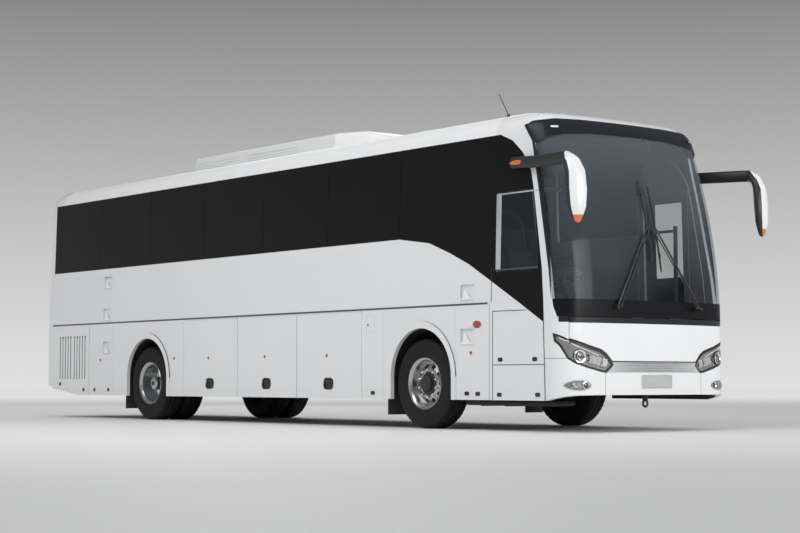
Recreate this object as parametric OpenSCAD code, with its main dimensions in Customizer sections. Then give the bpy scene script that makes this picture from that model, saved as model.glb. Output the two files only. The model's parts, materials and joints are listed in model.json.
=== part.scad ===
// High-floor two-axle passenger bus, right-hand drive.
// +X points forward, +Y to the left, +Z up. The origin lies on the ground under the middle of the bus.

/* [Body] */
// Length from the bumper face to the rear face
body_len = 11950; // [11500:10:12500]
// Width over the side panels
body_w = 2550; // [2450:10:2600]
// Height of the seam at the top of the skirt
skirt_h = 1380; // [1300:5:1450]
// Height of the lower edge of the skirt
skirt_low = 335; // [300:5:380]
// Height of the lower edge of the side glass
glass_low = 2200; // [2100:5:2300]
// Height of the cant rail at the top of the side glass
cant_h = 3250; // [3200:5:3350]
// How far the side walls lean in at the cant rail
side_lean = 50; // [20:5:80]
// Radius of the roof edge
roof_r = 240; // [200:5:280]
// Rise of the roof over its width
roof_crown = 35; // [20:5:60]
// Thickness of the side walls and doors
wall_t = 45; // [35:1:60]
// Thickness of the roof
roof_t = 50; // [35:1:70]
// Thickness of bonded glass
glass_t = 8; // [6:1:10]

/* [Front] */
// Plan radius of the front
nose_r = 7000; // [6000:100:9000]
// Plan radius of the front corners
corner_r = 280; // [240:5:300]
// Height at which the front starts to lean back
rake_z = 1200; // [1100:10:1300]
// Radius of the lean in side view
rake_r = 5600; // [4500:100:6500]
// Length of the front roof cap behind the raked face
front_cap = 520; // [480:10:700]
// Thickness of the front moulding
mask_t = 35; // [25:1:45]
// Height of the seam over the front flap
flap_top = 1226; // [1200:1:1250]
// Height of the lower edge of the front flap
flap_low = 757; // [740:1:770]
// Half width of the front flap
flap_half = 1166; // [1120:1:1180]
// Thickness of the front flap
flap_t = 14; // [10:1:20]
// Height of the top of the black cowl under the windshield
cowl_top = 1410; // [1370:5:1450]
// Height of the lower edge of the grille
grille_low = 632; // [620:1:645]
// Height of the lower edge of the bumper
bumper_low = 365; // [340:5:400]
// Height of the seam between bumper corner and front corner panel
corner_seam = 785; // [770:1:800]
// How far the mirrors reach ahead of the bumper
mirror_reach = 340; // [300:10:400]

/* [Rear] */
// Plan radius of the rear
tail_r = 20000; // [15000:500:25000]
// Plan radius of the rear corners
tail_corner = 200; // [180:5:240]
// Length of the rear roof cap
rear_cap = 560; // [540:10:640]
// Length of the rear corners ahead of the rear face
rear_side = 310; // [300:5:330]
// Height of the top edge of the engine hatch
hatch_top = 1880; // [1800:10:1950]
// Height of the lower edge of the engine hatch
hatch_low = 780; // [760:5:800]
// Half width of the engine hatch
hatch_half = 850; // [800:10:880]
// Lower edge of the rear bumper
rear_low = 470; // [450:5:490]

/* [Running gear] */
// Distance between the axles
wheelbase = 6240; // [6000:10:6400]
// Distance from the bumper face to the front axle
front_overhang = 2500; // [2450:10:2550]
// Outer radius of the tyres
tyre_r = 515; // [500:1:520]
// Width of a tyre
tyre_w = 295; // [280:1:300]
// Radius of the rim seat
rim_r = 286; // [280:1:290]
// Distance from the middle of the bus to the outer tyre's middle plane
wheel_y = 1087; // [1070:1:1095]
// Distance between the middle planes of the twin tyres
twin_pitch = 330; // [325:1:345]
// Distance from the middle of the bus to the kingpins
kingpin_y = 900; // [880:1:910]
// Radius of the wheel arches
arch_r = 555; // [550:1:575]
// Height of the arch centre
arch_z = 595; // [580:1:610]

/* [Doors] */
// Distance from the bumper face to the first luggage door
bay_start = 3637; // [3600:1:3700]
// Length of one luggage door
bay_len = 1371; // [1300:1:1380]
// Distance from the bumper face to the front edge of the passenger door
door_start = 650; // [640:5:680]
// Width of the passenger door
door_w = 810; // [760:5:820]
// Height of the lower edge of the passenger door
door_low = 400; // [380:5:420]
// Height of the top edge of the passenger door
door_high = 2750; // [2700:5:2760]
// Length of the passenger door's swing arm
door_arm_len = 450; // [420:5:470]

/* [Clearances] */
// Joint between fixed panels
joint = 0.3; // [0.2:0.1:0.5]
// Gap round a panel that opens
gap = 6; // [5:0.5:8]
// Gap between the front flap and the headlamps
lamp_gap = 14; // [13:1:18]
// Radial clearance of a running pin
run = 0.3; // [0.2:0.1:0.5]
// Radius of a hinge bead
bead_r = 7; // [6:0.5:9]

/* [Hidden] */
$fn = 48;
big = 20000;
right = -1;
left = 1;

half_w = body_w / 2;
nose_x = (body_len - mirror_reach) / 2;
rear_x = nose_x - body_len;
front_axle_x = nose_x - front_overhang;
rear_axle_x = front_axle_x - wheelbase;
rear_axle_d = front_overhang + wheelbase;
bay_end = bay_start + 3 * bay_len;
lean = side_lean / (cant_h - skirt_h);
lean_angle = atan(lean);
roof_angle = 86;

// X of a place that lies d behind the bumper face
function xn(d) = nose_x - d;
// Half width of the body at height z
function side_y(z) = half_w - max(0, z - skirt_h) * lean;
function mirrored(pts) = concat(pts, [for (i = [len(pts) - 1 : -1 : 0]) [-pts[i][0], pts[i][1]]]);

// Outline in side view, [x, z], drawn right across the bus
module across(pts, width = 2 * body_w) {
    rotate([90, 0, 0]) linear_extrude(height = width, center = true) polygon(pts);
}

// Outline in end view, [y, z], drawn along the bus from x0 to x1
module along(pts, x0 = -big, x1 = big) {
    translate([x0, 0, 0]) rotate([90, 0, 90]) linear_extrude(height = x1 - x0) polygon(pts);
}

// Box between two corners
module block(low, high) {
    translate(low) cube(high - low);
}

module both_sides() {
    children();
    mirror([0, 1, 0]) children();
}

// Rounded ends of the bus. An end is [sign, face x, plan radius, corner radius, rake start, rake radius, cap]
front_face = [1, nose_x, nose_r, corner_r, rake_z, rake_r];
front_back = bend_level(front_face, roof_angle, 0)[2] + front_cap;
front_end = concat(front_face, [front_back]);
tail_rake_z = 1600;
tail_rake_r = 20000;
rear_end = [-1, rear_x, tail_r, tail_corner, tail_rake_z, tail_rake_r, rear_cap];
end_levels = 9;
bend_steps = 5;
corner_steps = 6;
face_steps = 10;

// Depth of a flat facet of the end face under its true arc
function face_sag(e) = e[2] * (1 - cos(asin((half_w - e[3]) / (e[2] - e[3])) / face_steps));

function rake(e, z) = z < e[4] ? 0 : e[5] - sqrt(e[5] * e[5] - (z - e[4]) * (z - e[4]));

// Level of the end form, [z, half width, set-back], below the cant rail and over the roof edge
function wall_level(e, z, t) = [z, side_y(z) - t, rake(e, z) + t];
function bend_level(e, a, t) =
    let (r = roof_r - t, f0 = asin((cant_h - e[4]) / e[5]),
        rf = r * (sin(roof_angle) - sin(lean_angle)) / (sin(roof_angle) - sin(f0)),
        rise = r * (sin(a) - sin(lean_angle)), fa = asin(sin(f0) + rise / rf))
    [cant_h + rise, side_y(cant_h) - t - r * (cos(lean_angle) - cos(a)),
        rake(e, cant_h) + t + rf * (cos(f0) - cos(fa))];
function end_profile(e, t, low) = concat(
    [wall_level(e, low, t)], e[4] > low + joint && e[4] < skirt_h ? [wall_level(e, e[4], t)] : [],
    [for (i = [0 : end_levels]) let (z = skirt_h + (cant_h - skirt_h) * i / end_levels)
        if (z > low + joint) wall_level(e, z, t)],
    [for (i = [1 : bend_steps])
        bend_level(e, lean_angle + (roof_angle - lean_angle) * i / bend_steps, t)]);

// Plan outline at one level, from the right side round the end to the left side
function end_ring(e, p, t, back) =
    let (big_r = e[2] - t, small_r = e[3] - t, w = p[1], xc = e[1] - e[0] * (p[2] + big_r),
        a = asin((w - small_r) / (big_r - small_r)),
        cx = xc + e[0] * (big_r - small_r) * cos(a), cy = w - small_r)
    [for (q = concat([[e[1] - e[0] * back, -w]],
        [for (i = [0 : corner_steps - 1]) let (g = -90 + (90 - a) * i / corner_steps)
            [cx + e[0] * small_r * cos(g), -cy + small_r * sin(g)]],
        [for (i = [0 : face_steps]) let (g = -a + 2 * a * i / face_steps)
            [xc + e[0] * big_r * cos(g), big_r * sin(g)]],
        [for (i = [1 : corner_steps]) let (g = a + (90 - a) * i / corner_steps)
            [cx + e[0] * small_r * cos(g), cy + small_r * sin(g)]],
        [[e[1] - e[0] * back, w]])) [q[0], q[1], p[0]]];

module loft(a, b) {
    n = len(a);
    hull() polyhedron(concat(a, b), concat([[for (i = [0 : n - 1]) i], [for (i = [n - 1 : -1 : 0]) n + i]],
        [for (i = [0 : n - 1]) [n + i, n + (i + 1) % n, (i + 1) % n, i]]));
}

function crown_line(t) =
    let (w = side_y(cant_h) - t - (roof_r - t) * (cos(lean_angle) - cos(roof_angle)),
        z = cant_h + (roof_r - t) * (sin(roof_angle) - sin(lean_angle)))
    [for (i = [0 : 8]) let (s = 1 - i / 4) [w * s, z + roof_crown * (1 - s * s)]];

// Solid form of an end, inset by t
module end_form(e, t, low, back) {
    levels = end_profile(e, t, low);
    for (i = [0 : len(levels) - 2])
        loft(end_ring(e, levels[i], t, back), end_ring(e, levels[i + 1], t, back));
    top = end_ring(e, levels[len(levels) - 1], t, back);
    hull() {
        loft(top, [for (q = top) q - [0, 0, 1]]);
        along(concat(crown_line(t), [[0, levels[len(levels) - 1][0] - 1]]),
            e[1] - e[0] * back - (e[0] > 0 ? 0 : 1), e[1] - e[0] * back + (e[0] > 0 ? 1 : 0));
    }
}

// Skin of an end, t thick
module end_skin(e, t, low) {
    difference() {
        end_form(e, 0, low, e[6]);
        end_form(e, t, low - 10, e[6] + 10);
    }
}

// Heights as a share of the way from the skirt seam to the cant rail, and to the lower edge of the glass
function up(f) = skirt_h + f * (cant_h - skirt_h);
function swept(f) = skirt_h + f * (glass_low - skirt_h);

// Edge of the windshield and visor, and front edge of the black side glass, in side view as [d, z]
screen_edge = [[225, flap_top - 36], [279, flap_top + 108], [333, up(0.18)], [507, up(0.643)], [627,
    cant_h - 124],
    [772, cant_h + 80], [900, cant_h + 170]];
pillar_back = [[385, 200], [418, skirt_h + 20], [450, up(0.198)], [592, up(0.647)], [640, up(0.76)],
    [700, up(0.821)],
    [791, up(0.882)], [950, up(0.955)], [1151, cant_h]];
// Lower edge of the black front sweep on the side, from its front end to the level run
sweep_edge = [[412, skirt_h - 215], [797, skirt_h + 3], [1320, swept(0.348)], [1660, swept(0.57)], [2000,
    swept(0.744)],
    [2370, swept(0.907)], [2930, glass_low]];
// Edges in front view as [y, z]
visor_low_edge = [[half_w - 45, cant_h - 145], [half_w - 145, cant_h - 78], [half_w - 325, cant_h - 44],
    [600, cant_h - 14], [0, cant_h - 7]];
visor_top_edge = [[half_w - 45, cant_h + 55], [half_w - 105, cant_h + 108], [half_w - 285, cant_h + 133],
    [640, cant_h + 144], [0, cant_h + 144]];
lamp_edge = [[1267, 1050], [1169, 979], [971, 917], [789, 867], [725, 829], [652, 752], [624, 714], [719,
    630],
    [783, 636], [973, 681], [1115, 725], [1184, 776], [1206, 826], [1232, 897], [1261, 960]];
lamp_depth = 70;
lamp_reach = 340;

module lamp_zone(grow) {
    for (s = [-1, 1])
        translate([xn(lamp_reach), 0, 0]) rotate([90, 0, 90]) linear_extrude(height = lamp_reach + 300)
            offset(delta = grow) polygon([for (p = lamp_edge) [s * p[0], p[1]]]);
}

// Opening for cowl, windshield and visor, grown by g
module screen_zone(g) {
    intersection() {
        across(concat([for (p = screen_edge) [xn(p[0] + g), p[1]]],
            [[xn(-300), cant_h + 170], [xn(-300), flap_top - g], [xn(225 + g), flap_top - g]]));
        along(concat(mirrored([for (p = visor_top_edge) [p[0] + g, p[1] + g]]), [[-half_w - 25, 900],
            [half_w + 25, 900]]),
            xn(1300), xn(-300));
    }
}

module below_edge(edge, g) {
    along(concat(mirrored([for (p = edge) [p[0], p[1] + g]]), [[-half_w - 25, 900], [half_w + 25, 900]]),
        xn(1300), xn(-300));
}

// Region behind the front edge of the black glass and under the cant rail, on both sides
module glass_side_zone(g) {
    across(concat([for (p = pillar_back) [xn(p[0] - g), p[1] + g]], [[xn(2000), cant_h + g], [xn(2000),
        200]]));
}

module front_mask() {
    color("white") difference() {
        end_skin(front_end, mask_t, corner_seam + joint);
        screen_zone(joint);
        glass_side_zone(0);
        lamp_zone(joint);
        block([xn(300), -flap_half - gap, 0], [xn(-300), flap_half + gap, flap_top + joint]);
    }
}

module cowl_panel() {
    color("black") intersection() {
        end_skin(front_end, mask_t, flap_top);
        screen_zone(0);
        block([xn(1300), -half_w, flap_top], [xn(-300), half_w, cowl_top]);
    }
}

module windshield() {
    color("slategray") intersection() {
        end_skin(front_end, glass_t, cowl_top + joint);
        screen_zone(0);
        below_edge(visor_low_edge, 0);
    }
}

// Visor over the windshield, proud of the glass and the roof
visor_out = 18;
module visor() {
    color("black") difference() {
        intersection() {
            difference() {
                end_form(front_end, -visor_out, cowl_top, front_back);
                end_form(front_end, mask_t, cowl_top - 10, front_back + 10);
            }
            screen_zone(0);
        }
        below_edge(visor_low_edge, joint);
    }
}

grille_half_top = 635;
grille_half_low = 722;
bumper_half = 735;

function grille_outline(g) = [[-grille_half_low - g, grille_low - g], [grille_half_low + g, grille_low - g],
    [grille_half_top + g, flap_low - 12 + g], [-grille_half_top - g, flap_low - 12 + g]];

module front_flap() {
    color("white") difference() {
        intersection() {
            end_skin(front_end, flap_t, flap_low);
            block([xn(600), -flap_half, flap_low], [xn(-300), flap_half, flap_top - bead_r - joint]);
        }
        lamp_zone(lamp_gap);
        for (s = [-1, 1])
            translate([xn(flap_axis_d), s * hinge_half - hinge_len / 2 - gap, flap_axis_z]) rotate([-90,
                0, 0])
                cylinder(r = bead_r + joint, h = hinge_len + 2 * gap);
    }
}

// Hinge barrels of the front flap, with the leaf behind the flap
flap_axis_d = 4;
flap_axis_z = flap_top - bead_r - joint;
hinge_half = 290;
hinge_len = 180;
leaf_t = 12;
flap_leaf_d = flap_t + pow(hinge_half + hinge_len / 2, 2) / (2 * nose_r) + face_sag(front_end) + joint;
module flap_hinges() {
    color("dimgray") for (s = [-1, 1]) {
        translate([xn(flap_axis_d), s * hinge_half - hinge_len / 2, flap_axis_z]) rotate([-90, 0, 0])
            cylinder(r = bead_r, h = hinge_len);
        block([xn(flap_leaf_d + leaf_t), s * hinge_half - hinge_len / 2, flap_axis_z + 1],
            [xn(flap_axis_d), s * hinge_half + hinge_len / 2, flap_axis_z + 5]);
        block([xn(flap_leaf_d + leaf_t), s * hinge_half - hinge_len / 2, flap_axis_z - 90],
            [xn(flap_leaf_d), s * hinge_half + hinge_len / 2, flap_axis_z + 5]);
    }
}

grille_t = 40;
module front_grille() {
    color("gray") difference() {
        intersection() {
            end_skin(front_end, grille_t, 600);
            along(grille_outline(0), xn(600), xn(-300));
        }
        lamp_zone(joint);
        for (i = [0 : 3])
            along([[-600, grille_low + 14 + 26 * i], [600, grille_low + 14 + 26 * i],
                [600, grille_low + 28 + 26 * i], [-600, grille_low + 28 + 26 * i]], xn(30), xn(-300));
    }
}

fog_y = half_w - 207;
fog_z = 497;
fog_half = [150, 60];
bumper_t = 60;
module fog_outline(grow) {
    for (s = [-1, 1])
        translate([xn(lamp_reach), s * fog_y, fog_z]) rotate([90, 0,
            90]) linear_extrude(height = lamp_reach + 300)
            scale([(fog_half[0] + grow) / fog_half[1], (fog_half[1] + grow) / fog_half[1]])
                circle(r = fog_half[1]);
}

plate_half = 235;
module front_bumper() {
    color("white") difference() {
        intersection() {
            end_skin(front_end, bumper_t, bumper_low - 30);
            across([[xn(pillar_d(skirt_low) - joint), bumper_low - 30],
                [xn(pillar_d(corner_seam) - joint), corner_seam],
                [xn(-300), corner_seam], [xn(-300), bumper_low + 30], [xn(100), bumper_low + 30]]);
        }
        lamp_zone(joint);
        fog_outline(joint);
        along(grille_outline(joint), xn(600), xn(-300));
        block([xn(600), -1000, flap_low - 22], [xn(-300), 1000, 900]);
        block([xn(600), -plate_half, 462], [xn(12), plate_half, grille_low]);
        for (s = [-1, 1])
            block([xn(4), s * bumper_half - 3, 0], [xn(-300), s * bumper_half + 3, grille_low]);
    }
}

module headlamps() {
    color("lightgray") intersection() {
        end_skin(front_end, lamp_depth, 600);
        lamp_zone(0);
    }
}

module fog_lamps() {
    color("lightgray") intersection() {
        end_skin(front_end, bumper_t, 400);
        fog_outline(0);
    }
}

// Side of the bus
skirt_t = 40;
wall_low = skirt_h + bead_r + joint;
pane_start = 2930;
pane_count = 6;
pane_pitch = (body_len - rear_side - pane_start) / pane_count;
pane_joint = 5;
side_end = body_len - rear_side - joint;
driver_window = [[500, up(0.19)], [640, up(0.658)], [1202, up(0.658)], [1202, up(0.19)]];

function pillar_d(z) = lookup(z, [for (p = pillar_back) [p[1], p[0]]]);

// Section of a side layer between heights z0 and z1 and insets t0 and t1, on the left side
function layer(z0, z1, t0, t1) = concat(
    [[side_y(z0) - t0, z0]], z0 < skirt_h ? [[side_y(skirt_h) - t0, skirt_h]] : [],
    [[side_y(z1) - t0, z1], [side_y(z1) - t1, z1]],
    z0 < skirt_h ? [[side_y(skirt_h) - t1, skirt_h]] : [], [[side_y(z0) - t1, z0]]);

module side_layer(side, z0, z1, t0, t1, d0, d1) {
    along([for (p = layer(z0, z1, t0, t1)) [side * p[0], p[1]]], xn(d1), xn(d0));
}

// Black area over the waist line, from the pillar to d
function black_outline(d, g) = concat(
    [for (p = pillar_back) if (p[1] > 1200) [xn(p[0]), p[1]]], [[xn(d), cant_h], [xn(d), glass_low - g]],
    [for (i = [len(sweep_edge) - 1 : -1 : 0]) [xn(sweep_edge[i][0]), sweep_edge[i][1] - g]]);

module door_zone(g, g_front) {
    block([xn(door_start + door_w + g), 0, door_low - g], [xn(door_start - g_front), 2 * half_w,
        door_high + g]);
}

door_front_gap = 10;
window_sill = 80;
window_head = 110;
window_side = 70;

module side_wall(side) {
    difference() {
        intersection() {
            side_layer(side, wall_low, cant_h - joint, 0, wall_t, 300, side_end);
            across(concat([for (p = pillar_back) [xn(p[0] + joint), p[1] - joint]],
                [[xn(side_end), cant_h], [xn(side_end), 200]]));
        }
        intersection() {
            side_layer(side, wall_low - 300, cant_h + 10, -20, glass_t + joint, 300, side_end + 10);
            across(black_outline(side_end + 10, joint));
        }
        for (i = [0 : pane_count - 1])
            across([for (q = [[0, 0], [0, 1], [1, 1], [1, 0]])
                [xn(pane_start + pane_pitch * (i + q[0]) + window_side * (1 - 2 * q[0])),
                    q[1] ? cant_h - window_head : glass_low + window_sill]]);
        across([for (q = [[1340, 0], [1340, 1], [pane_start - window_side, 1], [pane_start - window_side, 0]])
            [xn(q[0]), q[1] ? cant_h - window_head : glass_low + window_sill]]);
        for (q = pockets) if (q[1] > skirt_h) step_pocket(side, q[0], q[1]);
        if (side == right) across([for (p = driver_window) [xn(p[0]), p[1]]]);
        if (side == right) groove(side, hatch_seam_d + 20, hatch_seam_d + 20 + seam_w, wall_low - 1,
            up(0.14));
        if (side == left) door_zone(gap, door_front_gap);
    }
}

module side_walls() {
    color("white") {
        side_wall(right);
        side_wall(left);
    }
}

module pane(side, d0, d1) {
    side_layer(side, glass_low, cant_h - joint, 0, glass_t, d0, d1);
}

module side_glass() {
    color("black") for (side = [right, left]) {
        for (i = [0 : pane_count - 1])
            pane(side, pane_start + pane_pitch * i + pane_joint / 2,
                pane_start + pane_pitch * (i + 1) - pane_joint / 2);
        difference() {
            intersection() {
                side_layer(side, sweep_edge[0][1], cant_h - joint, 0, glass_t, 300,
                    pane_start - pane_joint / 2);
                across(concat([for (p = pillar_back) if (p[1] > 1200) [xn(p[0] + joint), p[1] - joint]],
                    [[xn(pane_start), cant_h], [xn(pane_start), glass_low]],
                    [for (i = [len(sweep_edge) - 1 : -1 : 0]) [xn(sweep_edge[i][0]), sweep_edge[i][1]]]));
            }
            if (side == right) across([for (p = driver_window) [xn(p[0]), p[1]]]);
            if (side == left) door_zone(gap, door_front_gap);
        }
        if (side == right) intersection() {
            side_layer(side, up(0.15), up(0.7), 0, glass_t, 300, pane_start);
            across([for (p = driver_window) [xn(p[0] + (p[0] < 900 ? joint : -joint)),
                p[1] + (p[1] < up(0.4) ? joint : -joint)]]);
        }
    }
}

lip_w = 78;
lip_t = 12;
skirt_rise_d = body_len - 1165;
seam_w = 5;
seam_depth = 4;
skirt_seams = [1294, 1884, front_overhang + 710, rear_axle_d + 990, body_len - 1490];
// Two groups of engine louvres
grille_d = [body_len - 1377, body_len - 921];
grille_z = [577, 1223];
louvre_count = 5;
louvre_pitch = 84;
louvre_w = 30;
// Climbing steps let into the side, one column over each end
pockets = [[1677, 1037], [1677, 1533], [body_len - 2025, 1037], [body_len - 2025, 1520],
    [body_len - 2025, 1992]];
pocket_size = [240, 180, 28];
// Fuel flap, and the seams of the two hatches under the driver
fuel_d = [front_overhang + 880, front_overhang + 1042];
fuel_z = [1114, 1328];
hatch_seam_d = 1240;
hatch_seam_z = [717, 1303];

// Groove in the outer face of one side
module groove(side, d0, d1, z0, z1, depth = seam_depth) {
    side_layer(side, z0, z1, -20, depth, d0, d1);
}

// Pocket with a sloping floor for a foot
module step_pocket(side, d, z) {
    low = z - pocket_size[1] / 2;
    high = z + pocket_size[1] / 2;
    y = side_y(z);
    along([for (q = [[y + 20, low - 30], [y - pocket_size[2], low + 45], [y - pocket_size[2], high],
        [y + 20, high]])
        [side * q[0], q[1]]], xn(d + pocket_size[0] / 2), xn(d - pocket_size[0] / 2));
}

module arch_zone(x, r) {
    translate([x, 0, arch_z]) rotate([90, 0, 0]) cylinder(r = r, h = 2 * body_w, center = true);
    block([x - r, -body_w, 0], [x + r, body_w, arch_z]);
}

module arch_lip(side, x) {
    intersection() {
        difference() {
            arch_zone(x, arch_r + lip_w);
            arch_zone(x, arch_r);
        }
        side_layer(side, skirt_low, wall_low - joint, -lip_t, skirt_t, 0, body_len);
    }
}

module skirt(side) {
    difference() {
        union() {
            difference() {
                side_layer(side, skirt_low, wall_low - joint, 0, skirt_t, 380, side_end);
                arch_zone(front_axle_x, arch_r);
                arch_zone(rear_axle_x, arch_r);
                for (d = skirt_seams) groove(side, d, d + seam_w, skirt_low - 10, wall_low + 10);
                for (d = grille_d, i = [0 : louvre_count - 1])
                    block([xn(d + louvre_pitch * i + louvre_w), side * half_w - 60, grille_z[0]],
                        [xn(d + louvre_pitch * i), side * half_w + 60, grille_z[1]]);
                for (q = pockets) if (q[1] < skirt_h) step_pocket(side, q[0], q[1]);
                if (side == right) {
                    difference() {
                        groove(side, fuel_d[0], fuel_d[1], fuel_z[0], fuel_z[1]);
                        across([for (q = [[0, 0], [0, 1], [1, 1], [1, 0]])
                            [xn(fuel_d[q[0]] + seam_w * (1 - 2 * q[0])),
                                fuel_z[q[1]] + seam_w * (1 - 2 * q[1])]]);
                    }
                    groove(side, hatch_seam_d, hatch_seam_d + seam_w, skirt_low - 10,
                        hatch_seam_z[1] + seam_w / 2);
                    for (z = hatch_seam_z)
                        groove(side, 380, hatch_seam_d + seam_w / 2, z, z + seam_w, seam_depth + 1);
                }
            }
            arch_lip(side, front_axle_x);
            arch_lip(side, rear_axle_x);
        }
        block([xn(bay_end), -body_w, 0], [xn(bay_start), body_w, 2 * skirt_h]);
        across([[xn(0), 0], [xn(pillar_d(200) + joint), 200], [xn(pillar_d(1400) + joint), 1400], [xn(0),
            1400]]);
        across([[xn(skirt_rise_d), skirt_low], [rear_x, rear_low], [rear_x, 0], [xn(skirt_rise_d), 0]]);
        if (side == left) door_zone(gap, door_front_gap);
        intersection() {
            side_layer(side, 1000, cant_h, -20, glass_t + joint, 300, pane_start);
            across(black_outline(pane_start, joint));
        }
    }
}

module skirts() {
    color("white") {
        skirt(right);
        skirt(left);
    }
}

// Recess for the hand in each luggage door
pull_z = 512;
pull_size = [215, 147];
pull_r = 60;
pull_depth = 24;
function round_rect(x, z, size, r) = [for (q = [0 : 3], i = [0 : 4]) let (a = 90 * q + 22.5 * i)
    [x + (size[0] / 2 - r) * (q == 0 || q == 3 ? 1 : -1) + r * cos(a),
        z + (size[1] / 2 - r) * (q < 2 ? 1 : -1) + r * sin(a)]];

// Luggage door i counted from the front, hung on a bead along its top edge
module luggage_door(side, i) {
    d0 = bay_start + bay_len * i + gap;
    d1 = bay_start + bay_len * (i + 1) - gap;
    color("white") {
        difference() {
            side_layer(side, skirt_low, skirt_h, 0, skirt_t, d0, d1);
            intersection() {
                side_layer(side, skirt_low, skirt_h, -20, pull_depth, d0, d1);
                across(round_rect(xn((d0 + d1) / 2), pull_z, pull_size, pull_r));
            }
        }
        translate([xn(d1), side * half_w, skirt_h]) rotate([0, 90, 0]) cylinder(r = bead_r, h = d1 - d0);
    }
}

module luggage_door_right_1() { luggage_door(right, 0); }
module luggage_door_right_2() { luggage_door(right, 1); }
module luggage_door_right_3() { luggage_door(right, 2); }
module luggage_door_left_1() { luggage_door(left, 0); }
module luggage_door_left_2() { luggage_door(left, 1); }
module luggage_door_left_3() { luggage_door(left, 2); }

// Roof
function roof_arc(t) = [for (i = [0 : bend_steps])
    let (a = lean_angle + (roof_angle - lean_angle) * i / bend_steps, r = roof_r - t)
    [side_y(cant_h) - t - r * (cos(lean_angle) - cos(a)), cant_h + r * (sin(a) - sin(lean_angle))]];
function roof_line(t) = concat(roof_arc(t), [for (i = [1 : 7]) crown_line(t)[i]],
    [for (i = [bend_steps : -1 : 0]) [-roof_arc(t)[i][0], roof_arc(t)[i][1]]]);
function reversed(pts) = [for (i = [len(pts) - 1 : -1 : 0]) pts[i]];
function roof_z(y) = let (c = crown_line(0)) lookup(y, [for (i = [8 : -1 : 0]) c[i]]);

module roof_shell() {
    color("white") along(concat(roof_line(0), reversed(roof_line(roof_t))), rear_x + rear_cap + joint,
        xn(front_back) - joint);
}

// Air conditioner with its domed front fairing
ac_start = 3612;
ac_fairing = 1310;
ac_len = 3440;
ac_half = 750;
ac_top = 3720;
ac_edge = 60;
module ac_box(d0, d1, half, top) {
    hull() for (d = [d0 + ac_edge, d1 - ac_edge], s = [-1, 1])
        translate([xn(d), s * (half - ac_edge), cant_h + 100]) {
            cylinder(r = ac_edge, h = top - cant_h - 100 - ac_edge, $fn = 24);
            translate([0, 0, top - cant_h - 100 - ac_edge]) sphere(r = ac_edge, $fn = 24);
        }
}

// Slice of the unit's outline, from which the fairing falls to the roof
module ac_slice(d, half, top) {
    intersection() {
        ac_box(d - 200, d + 200, half, top);
        block([xn(d), -half_w, 0], [xn(d - 1), half_w, 2 * cant_h]);
    }
}

module roof_ac() {
    color("whitesmoke") difference() {
        union() {
            ac_box(ac_start + ac_fairing + joint, ac_start + ac_fairing + ac_len, ac_half, ac_top);
            hull() {
                ac_slice(ac_start + ac_fairing, ac_half, ac_top);
                ac_slice(ac_start + ac_fairing * 0.55, ac_half - 30, ac_top - 35);
                translate([xn(ac_start + 260), 0, roof_z(0) - 20]) scale([260, 600, 70]) sphere(r = 1,
                    $fn = 28);
            }
        }
        along(concat(roof_line(-joint), [[-half_w, 3000], [half_w, 3000]]));
    }
}

antenna_d = 1300;
antenna_y = 295 - half_w;
antenna_r = 24;
antenna_lean = 32;
module antenna() {
    z = roof_z(antenna_y + antenna_r);
    color("black") {
        translate([xn(antenna_d), antenna_y, z + joint]) cylinder(r1 = antenna_r, r2 = 14, h = 32);
        translate([xn(antenna_d), antenna_y, z + 24]) rotate([0, -antenna_lean, 0]) cylinder(r = 5, h = 290);
    }
}

// Rear end
rear_glass_half = half_w - 275;
rear_glass_z = [glass_low - 20, cant_h - 230];
tail_lamp_y = [half_w - 340, half_w - 145];
tail_lamp_z = [830, 1480];
rear_bumper_top = 760;
rear_t = 45;

module rear_box(y0, y1, z0, z1, g) {
    block([rear_x - 100, y0 - g, z0 - g], [rear_x + 420, y1 + g, z1 + g]);
}

module tail_lamp_zone(g) {
    for (s = [-1, 1])
        rear_box(min(s * tail_lamp_y[0], s * tail_lamp_y[1]), max(s * tail_lamp_y[0], s * tail_lamp_y[1]),
            tail_lamp_z[0], tail_lamp_z[1], g);
}

module rear_side_cut() {
    block([rear_x + rear_side, -body_w, 0], [nose_x, body_w, cant_h]);
}

module rear_wall() {
    color("white") difference() {
        end_skin(rear_end, rear_t, rear_bumper_top + joint);
        rear_side_cut();
        rear_box(-hatch_half, hatch_half, 0, hatch_top, gap);
        rear_box(-rear_glass_half, rear_glass_half, rear_glass_z[0], rear_glass_z[1], joint);
        tail_lamp_zone(joint);
    }
}

module rear_glass() {
    color("black") intersection() {
        end_skin(rear_end, glass_t, 2000);
        rear_box(-rear_glass_half, rear_glass_half, rear_glass_z[0], rear_glass_z[1], 0);
    }
}

module tail_lamps() {
    color("darkred") intersection() {
        end_skin(rear_end, rear_t, 600);
        tail_lamp_zone(0);
    }
}

module rear_bumper() {
    color("white") difference() {
        end_skin(rear_end, bumper_t, rear_low);
        rear_side_cut();
        block([rear_x - 100, -body_w, rear_bumper_top], [nose_x, body_w, 2 * cant_h]);
    }
}

module engine_hatch() {
    color("white") difference() {
        intersection() {
            end_skin(rear_end, rear_t, hatch_low);
            rear_box(-hatch_half, hatch_half, hatch_low, hatch_top - 2 * bead_r, 0);
        }
        for (i = [0 : 5])
            rear_box(-600, 600, hatch_low + 120 + 70 * i, hatch_low + 155 + 70 * i, 0);
    }
}

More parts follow.
